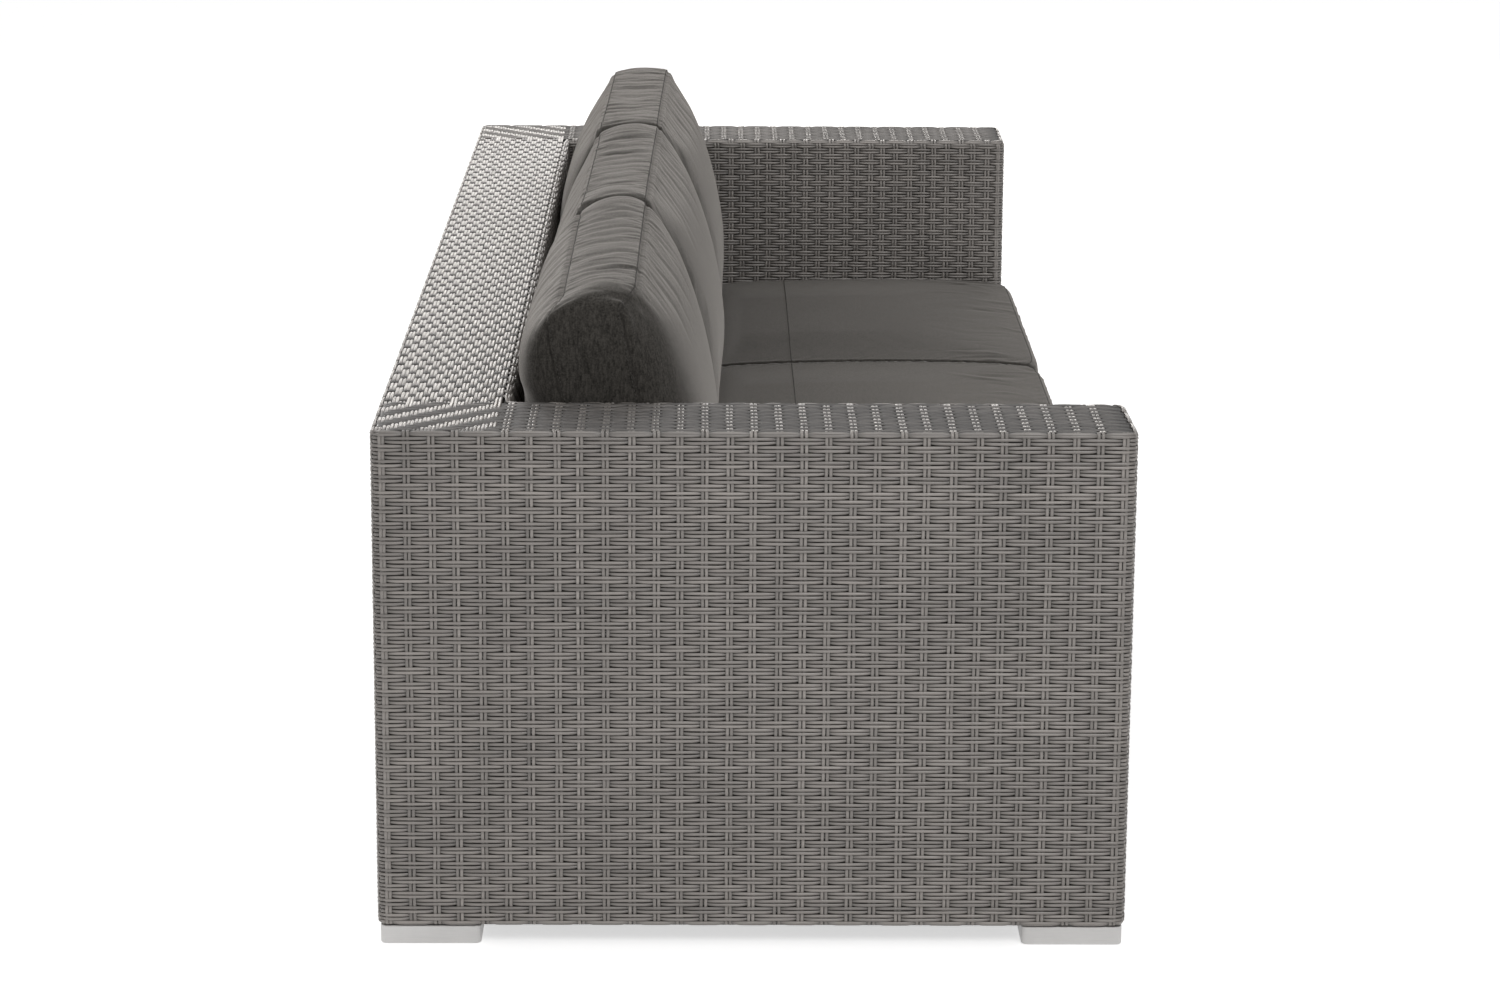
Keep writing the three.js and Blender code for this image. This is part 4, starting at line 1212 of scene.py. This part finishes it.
def panel_curves(kind, place):
    """The curves round a cushion's section: its front, top, rear and base."""
    if kind == "seat":
        return seat_front_curve, seat_top_curve, seat_rear_curve, seat_base_curve
    form = BACK_SET[place]
    square, drop, tuck = form["square"], form["drop"] * MM, form["tuck"] * MM
    return (
        functools.partial(back_front_curve, swell=form["front"], square=square, knee=form["knee"]),
        functools.partial(back_top_curve, drop=drop, square=square, rise=form["rise"]),
        functools.partial(back_rear_curve, swell=form["rear"], drop=drop, square=square, tuck=tuck),
        back_base_curve,
    )


def end_grid(front, top, rear, base):
    """The end panel that closes the four edges: (round the depth, up the height, 3)."""
    v = np.linspace(0, 1, len(front))[None, :, None]
    u = np.linspace(0, 1, len(top))[:, None, None]
    return (
        (1 - u) * front[None] + u * rear[None] + (1 - v) * base[:, None] + v * top[:, None]
        - (1 - u) * (1 - v) * front[0] - u * (1 - v) * rear[0] - (1 - u) * v * front[-1] - u * v * rear[-1]
    )


# Each panel's place in the texture, as left, low edge, width and height. The panels: front, top, rear, base,
# right end, left end
PANEL_PLACES = [
    (0.0, 0.0, 0.5, 0.3), (0.0, 0.32, 0.5, 0.3), (0.5, 0.0, 0.5, 0.3),
    (0.5, 0.32, 0.5, 0.3), (0.0, 0.64, 0.5, 0.3), (0.5, 0.64, 0.5, 0.3),
]
PANEL_MARGIN = 0.02
# The distance round the section that stands for a panel which has none
NO_ROUND = 9.0
# Points of two panels are one point where they agree to this many decimals of a metre
JOIN_DECIMALS = 7


class Sewn:
    """Panels that share their edges: points, faces, seams, and each point's distance round the section."""

    def __init__(self, kind, place):
        faces = PANEL_FACES[kind]
        stations = np.linspace(-1, 1, faces["across"] + 1)
        panels = []
        for curve, count in zip(panel_curves(kind, place), (faces["tall"], faces["deep"]) * 2):
            swells = kind == "back" and count == faces["tall"]
            middle = spread_stations(curve, faces["across"]) if swells else None
            panels.append(panel_grid(curve, stations, middle, count))
        (front, low, whole), (top, round_top, width), (rear, down, _), (base, _, _) = panels
        ends = []
        for station in (0, -1):
            end = end_grid(front[station], top[station], rear[station, ::-1], base[station])
            end[0], end[-1] = front[station], rear[station, ::-1]
            end[:, 0], end[:, -1] = base[station], top[station]
            ends.append(end)
        top[:, 0], top[:, -1] = front[:, -1], rear[:, 0]
        base[:, 0], base[:, -1] = front[:, 0], rear[:, -1]
        no_round = [np.full(grid.shape[:2], NO_ROUND) for grid in (base, *ends)]
        self.join(
            (front, top, rear, base, *ends), (low - whole, round_top, down + width.mean(), *no_round),
            (False, False, False, True, True, False),
        )
        front_ids, top_ids, rear_ids, base_ids, _, _ = self.rings
        self.seams = np.zeros(len(self.points), bool)
        for ids in (front_ids, rear_ids) if kind == "back" else (top_ids, base_ids):
            for edge in (ids[0], ids[-1], ids[:, 0], ids[:, -1]):
                self.seams[edge] = True
        if kind == "back":
            self.points = leaned(self.points, **BACK_SET[place])
        else:
            depth = (SEAT_CROSS_SEAM_Y - SEAT_FRONT_Y) / (SEAT_REAR_Y - SEAT_FRONT_Y)
            self.cross_seam = top_ids[:, round(faces["deep"] * depth)]

    def join(self, grids, rounds, flips):
        """Makes one skin of the panels, whose faces look the other way where they are flipped."""
        points = np.concatenate([grid.reshape(-1, 3) for grid in grids])
        _, first, joined_ids = np.unique(
            np.round(points, JOIN_DECIMALS), axis=0, return_index=True, return_inverse=True,
        )
        joined_ids = joined_ids.ravel()
        self.points = points[first]
        self.rounds = np.concatenate([around.ravel() for around in rounds])[first]
        self.rings, faces, uvs, offset = [], [], [], 0
        for grid, flipped, (left, low_edge, wide, high) in zip(grids, flips, PANEL_PLACES):
            rows, columns = grid.shape[:2]
            index = offset + np.arange(rows * columns).reshape(rows, columns)
            self.rings.append(joined_ids[index])
            quads = np.stack([index[:-1, :-1], index[1:, :-1], index[1:, 1:], index[:-1, 1:]], axis=-1)
            quads = quads.reshape(-1, 4)
            if flipped:
                quads = quads[:, ::-1]
            inside = (np.linspace(PANEL_MARGIN, 1 - PANEL_MARGIN, count) for count in (rows, columns))
            spot = np.stack(np.meshgrid(*inside, indexing="ij"), -1).reshape(-1, 2)
            spot = spot * (wide, high) + (left, low_edge)
            faces.append(joined_ids[quads])
            uvs.append(spot[quads - offset].reshape(-1, 2))
            offset += rows * columns
        self.faces, self.uvs = np.concatenate(faces), np.concatenate(uvs)


def leaned(points, ends, lean, sink, back, **_):
    """A back cushion's points, set forward, leaned, and rounded off at the ends of its top."""
    x, y, z = points.T
    across = (x / CUSHION_HALF + 1) / 2
    height = np.clip((z - BACK_BASE_Z) / BACK_HEIGHT, 0, 1)
    y = y - (ends[0] + (ends[1] - ends[0]) * across + lean * (1 - height)) * MM
    corner = np.clip((np.abs(x) / CUSHION_HALF - CORNER_START) / CORNER_RUN, 0, 1) ** 2
    high = np.clip((height - HIGH_START) / HIGH_RUN, 0, 1)
    deep = np.where(x < 0, sink[0], sink[1]) * MM
    y = y + np.where(x < 0, back[0], back[1]) * MM * high * corner
    return np.stack([x, y, z - deep * high * corner], axis=1)


def smoothed(points, faces, rounds):
    """Points drawn toward the middle of their neighbours, so that the form's edges round off."""
    first = np.concatenate([faces.ravel(), np.roll(faces, -1, axis=1).ravel()])
    second = np.concatenate([np.roll(faces, -1, axis=1).ravel(), faces.ravel()])
    count = np.bincount(first, minlength=len(points))[:, None]
    for _ in range(rounds):
        total = np.stack([np.bincount(first, points[second, axis], len(points)) for axis in range(3)], axis=1)
        points = points + 0.5 * (total / count - points)
    return points


# How softly a cushion starts to be pressed by what stands beside it and by what it lies on
SIDE_SOFT, BASE_SOFT = 0.8 * MM, 0.3 * MM
# Farther than this many soft lengths from the limit nothing is pressed
FREE_GAP = 20
# A seat cushion's top may rise so far above its seams, at so great a distance before the back cushions
FREE_RISE, FREE_RUN = 26 * MM, 70 * MM


def pressed(values, limit, soft):
    """Values kept below a limit, with a soft onset, as where a cushion is pressed against something flat."""
    gap = (limit - values) / soft
    return np.where(gap > FREE_GAP, values, limit - soft * np.log1p(np.exp(np.minimum(gap, FREE_GAP))))


def pressed_flat(kind, points):
    """A cushion's points kept inside the room that its neighbours, the arms and the back leave it."""
    x, y, z = points.T
    x = pressed(x, CUSHION_HALF, SIDE_SOFT)
    x = -pressed(-x, CUSHION_HALF, SIDE_SOFT)
    y = pressed(y, WALL_Y, SIDE_SOFT)
    base = SEAT_BASE_Z if kind == "seat" else BACK_BASE_Z
    z = -pressed(-z, -base, BASE_SOFT)
    if kind == "seat":
        free = np.clip((REST_Y - y) / FREE_RUN, 0, 1)
        z = pressed(z, SEAT_SEAM_Z + FREE_RISE * free * free * (3 - 2 * free), SIDE_SOFT)
    return np.stack([x, y, z], axis=1)


def numbers_of(data, field, count, width):
    """One field of a mesh's data, as an array with that many numbers in each row."""
    found = np.empty(count * width, np.float32)
    data.foreach_get(field, found)
    return found.reshape(-1, width).astype(float)


def points_of(mesh):
    return numbers_of(mesh.vertices, "co", len(mesh.vertices), 3)


def normals_of(mesh):
    return numbers_of(mesh.vertex_normals, "vector", len(mesh.vertices), 3)


def values_of(mesh, name):
    return numbers_of(mesh.attributes[name].data, "value", len(mesh.vertices), 1)[:, 0]


def set_points(mesh, points):
    mesh.vertices.foreach_set("co", points.astype(np.float32).ravel())
    mesh.update()


def seam_gaps(points, seams):
    tree = KDTree(int(seams.sum()))
    for number, point in enumerate(points[seams]):
        tree.insert(point, number)
    tree.balance()
    return np.array([tree.find(point)[2] for point in points])


SIMULATED_FRAMES = 20


def blow_up(pieces):
    """Runs all the cushions as cloth under pressure. Seams are held a little short, so the panels pucker."""
    for piece, sewn in pieces:
        group = piece.vertex_groups.new(name="seam")
        group.add([int(i) for i in np.flatnonzero(sewn.seams)], 1.0, "REPLACE")
        cloth = piece.modifiers.new("cloth", "CLOTH")
        cloth.collision_settings.use_collision = False
        settings = cloth.settings
        settings.quality = 5
        settings.mass = 0.3
        settings.tension_stiffness = settings.compression_stiffness = 15
        settings.bending_stiffness = 0.4
        settings.use_pressure = True
        settings.uniform_pressure_force = 4
        settings.vertex_group_shrink = "seam"
        settings.shrink_min = -0.05
        settings.shrink_max = 0.02
        settings.effector_weights.gravity = 0
    scene = bpy.context.scene
    for step in range(1, SIMULATED_FRAMES + 1):
        scene.frame_set(step)
    graph = bpy.context.evaluated_depsgraph_get()
    blown = [points_of(piece.evaluated_get(graph).data) for piece, _ in pieces]
    for piece, _ in pieces:
        piece.modifiers.clear()
        piece.vertex_groups.clear()
    scene.frame_set(1)
    return blown


# Each sort of fold: how many, least and greatest half width, least and greatest depth, in millimetres
FOLDS = {
    "back": ((18, 5.0, 10.0, 0.6, 2.0), (24, 2.4, 4.5, 0.2, 0.9)),
    "seat": ((12, 5.0, 9.0, 0.6, 1.6), (14, 3.5, 5.0, 0.3, 0.8)),
}
# Folds crowd toward the ends: the share of the half width over which they spread, and how strongly
FOLD_SPREAD, FOLD_CROWDING, FOLD_NEAREST = 0.85, 2.2, 0.02
# How far a fold bows and how much it leans, as the spread of a random draw
FOLD_BOW, FOLD_LEAN = 12 * MM, 0.26
# Round the section from the front seam: where a fold's middle lies, and how far it reaches to each side
FOLD_CENTRES, FOLD_REACHES = (-0.02, 0.11), (0.025, 0.08)
# Puckers at the seams: their lengths in millimetres, their height, their slow swing's length as a multiple of
# theirs, how far they reach from the seam, and how far from it they are at full height
PUCKER_LENGTHS = (11, 14, 19, 27)
PUCKER_HEIGHT = 0.5 * MM
PUCKER_SWING = 4.3
PUCKER_REACH, PUCKER_START = 16 * MM, 3 * MM
# The groove along a seam: its depth and width. The swelling beside it: its height, its distance from the
# seam and its width. The groove along the cross seam: its depth
SEAM_GROOVE, SEAM_GROOVE_WIDTH = 1.7 * MM, 2.4 * MM
SEAM_SWELL, SEAM_SWELL_GAP, SEAM_SWELL_WIDTH = 0.5 * MM, 8 * MM, 5 * MM
CROSS_GROOVE = 1.1 * MM
# The dip that holds the zip: half its length and half its height, how deep it is, and where its side of the
# cushion begins
ZIP_HALF, ZIP_HALF_HEIGHT, ZIP_DIP = 226 * MM, 8 * MM, 1.4 * MM
ZIP_REAR_Y, ZIP_BASE_UP = 260 * MM, 20 * MM
# How far the cloth may move a point, how far from the seams its swelling comes in, and the shares of its
# swelling and of its creases that are kept
CLOTH_CAP = {"back": 14 * MM, "seat": 9 * MM}
SWELL_RUN = {"back": 60 * MM, "seat": 180 * MM}
SWELL_SHARE = {"back": 0.25, "seat": 0.07}
CREASE_SHARE = {"back": 0.25, "seat": 0.08}
# Rounds of smoothing that round off the edges, and those that tell swelling from creases
EDGE_ROUNDS, SWELL_ROUNDS = 1, 40
# Roughness that the cloth starts from, and a length that no division goes below
START_ROUGHNESS, TINY = 0.25 * MM, 1e-9
# The distance in metres that stands for no cross seam near
NO_SEAM = 1.0
# Seeds of the cushions' random draws, and the step from one place to the next
CUSHION_SEED, CUSHION_SEED_STEP = {"seat": 504, "back": 505}, 10


def folds(kind, x, around, chance):
    """Folds that run round the section, crowded toward the ends where the cushion is sewn together."""
    height = np.zeros(len(x))
    for count, thin, thick, shallow, deep in FOLDS[kind]:
        for _ in range(count):
            side = chance.choice([-1, 1])
            crowded = chance.uniform(FOLD_NEAREST, 1) ** FOLD_CROWDING
            middle = side * CUSHION_HALF * (1 - FOLD_SPREAD * crowded)
            bow = chance.normal(0, FOLD_BOW)
            width = chance.uniform(thin, thick) * MM
            depth = chance.choice([-1, -1, 1]) * chance.uniform(shallow, deep) * MM
            centre = chance.uniform(*FOLD_CENTRES)
            reach = chance.uniform(*FOLD_REACHES)
            share = (around - centre) / reach
            lean = chance.normal(0, FOLD_LEAN)
            line = middle + bow * share ** 2 + lean * (around - centre)
            fade = np.clip(1 - share ** 2, 0, 1) ** 2
            height += depth * bell(x - line, width) * fade
    return height


def puckers(run, gap, chance):
    """Small puckers that stand across a seam and die out away from it."""
    height = np.zeros(len(run))
    for length in PUCKER_LENGTHS:
        phase, slow = chance.uniform(0, math.tau, 2)
        swelling = 0.5 + 0.5 * np.sin(run / (length * PUCKER_SWING * MM) * math.tau + slow)
        height += swelling * np.sin(run / (length * MM) * math.tau + phase)
    return PUCKER_HEIGHT * height * np.exp(-gap / PUCKER_REACH) * np.clip(gap / PUCKER_START, 0, 1)


def detail_cushion(kind, mesh, chance):
    """Seam grooves, puckers and folds on the finer mesh, and the dip that holds the zip."""
    points, normals = points_of(mesh), normals_of(mesh)
    gap, cross, around = (values_of(mesh, name) for name in ("seam_gap", "cross_gap", "around"))
    x, y, z = points.T
    height = SEAM_SWELL * bell(gap - SEAM_SWELL_GAP, SEAM_SWELL_WIDTH)
    height -= SEAM_GROOVE * bell(gap, SEAM_GROOVE_WIDTH)
    height += puckers(x + z + (y if kind == "seat" else 0), gap, chance)
    height += folds(kind, x, around, chance)
    if kind == "seat":
        height -= CROSS_GROOVE * bell(cross, SEAM_GROOVE_WIDTH)
    points = pressed_flat(kind, points + normals * height[:, None])
    x, y, z = points.T
    along_zip = np.abs(x) < ZIP_HALF
    if kind == "seat":
        level = np.abs(z - (SEAT_BASE_Z + SEAT_SEAM_Z) / 2) < ZIP_HALF_HEIGHT
        points[along_zip & level & (y > ZIP_REAR_Y), 1] = WALL_Y - ZIP_DIP
    else:
        level = np.abs(y - (BACK_SEAM_Y + BACK_REAR_SEAM_Y) / 2) < ZIP_HALF_HEIGHT
        points[along_zip & level & (z < BACK_BASE_Z + ZIP_BASE_UP), 2] = BACK_BASE_Z + ZIP_DIP
    set_points(mesh, points)
    mesh.polygons.foreach_set("use_smooth", np.ones(len(mesh.polygons), bool))


# Stitches: the thread, one stitch's stations as shares of its length and their heights, and how far beside a
# seam the rows run, as a share of the way to the next points
THREAD = dict(
    section=np.array([(1.0, 0.3), (0.5, 1.0), (-0.5, 1.0), (-1.0, 0.3), (0.0, -0.3)]),
    thickness=0.7 * MM, width=1.3 * MM,
)
STITCH_PITCH, STITCH_LENGTH = 5.0 * MM, 3.7 * MM
STITCH_STATIONS = np.array([0, 0.25, 0.75, 1.0])
STITCH_HEIGHTS = np.array([-0.5, 0.05, 0.05, -0.5]) * MM
BESIDE_SEAM, BESIDE_CROSS_SEAM = 0.6, 0.45


def sew(strands, tree, path):
    """A row of stitches along a path on a cushion's surface."""
    walked = np.concatenate([[0], np.cumsum(np.linalg.norm(np.diff(path, axis=0), axis=1))])
    starts = np.arange(STITCH_PITCH, walked[-1] - STITCH_PITCH, STITCH_PITCH)
    places = starts[:, None] + STITCH_STATIONS * STITCH_LENGTH
    points = np.stack([np.interp(places, walked, path[:, axis]) for axis in range(3)], axis=-1)
    normals = np.empty_like(points)
    for spot in np.ndindex(points.shape[:2]):
        place, normal, _, _ = tree.find_nearest(Vector(points[spot]))
        points[spot], normals[spot] = place, normal
    points += normals * STITCH_HEIGHTS[:, None]
    nothing = np.zeros(places.shape)
    strands.add(THREAD, points, normals, nothing + THREAD["width"], nothing, nothing)


def stitch_rows(kind, sewn, points):
    """Paths of the stitches.

    On a back cushion they run beside its band's seams, on a seat cushion beside its cross and front seams."""
    _, top, _, _, low_end, high_end = sewn.rings
    rows = []
    if kind == "back":
        for seam, beside in ((0, 1), (-1, -2)):
            on_seam, next_to = (
                np.concatenate([low_end[line], top[1:, line], high_end[line, -2::-1]])
                for line in (seam, beside)
            )
            rows.append((on_seam, next_to, BESIDE_SEAM))
    else:
        column = np.flatnonzero((top == sewn.cross_seam[:, None]).all(axis=0))[0]
        rows.append((top[:, column], top[:, column + 1], BESIDE_CROSS_SEAM))
        rows.append((top[:, 0], top[:, 1], BESIDE_SEAM))
    return [points[a] + share * (points[b] - points[a]) for a, b, share in rows]


class Cushion:
    """One cushion on its way from its sewn panels to its finished cover and stitches."""

    def __init__(self, kind, place, number):
        self.kind = kind
        self.place = place
        self.body = f"{kind}_cushion_{place}"
        self.form = form = Sewn(kind, place)
        self.chance = np.random.default_rng(CUSHION_SEED[kind] + CUSHION_SEED_STEP * number)
        self.gaps = seam_gaps(form.points, form.seams)
        cross = np.full(len(form.points), NO_SEAM)
        if kind == "seat":
            cross = np.abs(form.points[:, 1] - SEAT_CROSS_SEAM_Y)
            cross = cross + np.where(form.rounds < NO_ROUND, 0, NO_SEAM)
        start = smoothed(form.points, form.faces, EDGE_ROUNDS)
        start = start + self.chance.normal(0, START_ROUGHNESS, start.shape)
        self.piece = mesh_from_arrays(
            self.body, start, form.faces.ravel(), np.full(len(form.faces), 4), form.uvs,
            {"seam_gap": self.gaps, "cross_gap": cross, "around": form.rounds},
        )

    def settle(self, blown):
        """Keeps a share of what the cloth has moved, with less of its swelling near the seams."""
        kind, form = self.kind, self.form
        moved = blown - form.points
        swell = smoothed(moved, form.faces, SWELL_ROUNDS)
        near = np.clip(self.gaps / SWELL_RUN[kind], 0, 1)[:, None]
        moved = (moved - swell) * CREASE_SHARE[kind] + swell * (SWELL_SHARE[kind] * near)
        far = np.linalg.norm(moved, axis=1, keepdims=True)
        cap = CLOTH_CAP[kind]
        points = form.points + moved * np.minimum(1, cap * np.tanh(far / cap) / np.maximum(far, TINY))
        set_points(self.piece.data, pressed_flat(kind, points))

    def refine(self):
        """The finer mesh with its details, set in its place on the sofa."""
        self.piece.modifiers.new("finer", "SUBSURF").levels = 1
        graph = bpy.context.evaluated_depsgraph_get()
        finer = bpy.data.meshes.new_from_object(self.piece.evaluated_get(graph))
        self.piece.modifiers.clear()
        self.piece.data = finer
        detail_cushion(self.kind, finer, self.chance)
        set_points(finer, points_of(finer) + np.array([CUSHION_CENTRES[self.place], 0, 0]))

    def stitch(self):
        strands = Strands()
        mesh = self.piece.data
        points = points_of(mesh)
        faces = [tuple(face.vertices) for face in mesh.polygons]
        tree = BVHTree.FromPolygons([tuple(point) for point in points], faces)
        for path in stitch_rows(self.kind, self.form, points):
            sew(strands, tree, path)
        return strands.mesh(f"{self.body}_stitching")

    def dress(self):
        stitching = self.stitch()
        paint(stitching, thread)
        paint(self.piece, cushion_cloth)
        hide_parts(f"{self.body}_cover", f"{self.body}_core")
        for part in (self.piece, stitching):
            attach(part, self.body)


cushions = [
    Cushion(kind, place, number) for number, place in enumerate(CUSHION_CENTRES) for kind in ("seat", "back")
]
blown = blow_up([(cushion.piece, cushion.form) for cushion in cushions])
for cushion, points in zip(cushions, blown):
    cushion.settle(points)
    cushion.refine()
    cushion.dress()


# The photograph's camera: its place, its angles in radians, and its width and focal length in pixels
CAMERA_PLACE = (-5.374, 0.0577, 1.567)
CAMERA_YAW, CAMERA_PITCH, CAMERA_ROLL = -0.0107, 0.2421, 0.0059
PHOTO_WIDTH, FOCAL_PIXELS = 1500, 4022.14
SENSOR_WIDTH = 36.0
VIEW_END = 100.0


def build_camera():
    yaw, pitch, roll = CAMERA_YAW, CAMERA_PITCH, CAMERA_ROLL
    forward = Vector((math.cos(yaw) * math.cos(pitch), math.sin(yaw) * math.cos(pitch), -math.sin(pitch)))
    right = forward.cross(Vector((0, 0, 1))).normalized()
    upward = right.cross(forward)
    turned_right = right * math.cos(roll) + upward * math.sin(roll)
    turned_up = upward * math.cos(roll) - right * math.sin(roll)
    lens = bpy.data.cameras.new("camera")
    lens.sensor_width = SENSOR_WIDTH
    lens.lens = FOCAL_PIXELS / PHOTO_WIDTH * SENSOR_WIDTH
    lens.clip_end = VIEW_END
    camera = bpy.data.objects.new("camera", lens)
    columns = (turned_right, turned_up, -forward, Vector(CAMERA_PLACE))
    rows = [[column[axis] for column in columns] for axis in range(3)]
    camera.matrix_world = Matrix([*rows, [0, 0, 0, 1]])
    bpy.context.scene.collection.objects.link(camera)
    bpy.context.scene.camera = camera


build_camera()


def soft_lamp(name, place, target, size, power, colour=(1.0, 1.0, 1.0)):
    lamp = bpy.data.lights.new(name, "AREA")
    lamp.color = colour
    lamp.shape = "RECTANGLE"
    lamp.size, lamp.size_y = size
    lamp.energy = power
    made = bpy.data.objects.new(name, lamp)
    made.location = place
    made.rotation_euler = (Vector(target) - Vector(place)).to_track_quat("-Z", "Y").to_euler()
    bpy.context.scene.collection.objects.link(made)


soft_lamp("key_lamp", place=(0.9, 2.0, 2.8), target=(0, 0, 0.5), size=(2.4, 2.4), power=42)
soft_lamp("side_lamp", place=(-4.2, -1.0, 3.5), target=(-1.1, 0, 0.4), size=(2.0, 2.0), power=55)
soft_lamp(
    "back_lamp", place=(6.0, 0.4, 1.9), target=(0, 0.2, 0.6), size=(5.0, 0.7), power=60,
    colour=(1.0, 0.95, 0.9),
)

# How strongly the world lights the object, against 1 where it is seen
WORLD_LEVEL = 0.37
FLOOR_HALF = 14.0
FLOOR_WHITE = (0.9, 0.9, 0.9, 1.0)
# What the floor adds where it is seen, and where it lights the object
FLOOR_SEEN, FLOOR_UNSEEN = (0.62, 0.62, 0.62), (0.0, 0.0, 0.0)


def build_world():
    world = bpy.data.worlds.new("studio")
    bpy.context.scene.world = world
    finish = Finish("studio", world, "Background", Color=(1, 1, 1, 1))
    finish.link("Strength", finish.seen() * (1 - WORLD_LEVEL) + WORLD_LEVEL)


def build_floor():
    corners = np.array([(0, 0), (1, 0), (1, 1), (0, 1)])
    points = np.concatenate([(corners * 2 - 1) * FLOOR_HALF, np.zeros((4, 1))], axis=1)
    floor = mesh_from_arrays("floor", points, np.arange(4), np.array([4]), corners, {})
    finish = Finish("floor_white", Base_Color=FLOOR_WHITE, Roughness=0.9, Emission_Strength=1.0)
    finish.link("Emission Color", finish.colours(finish.seen(), FLOOR_UNSEEN, FLOOR_SEEN))
    paint(floor, finish)


build_world()
build_floor()
bpy.context.scene.view_settings.view_transform = "Standard"
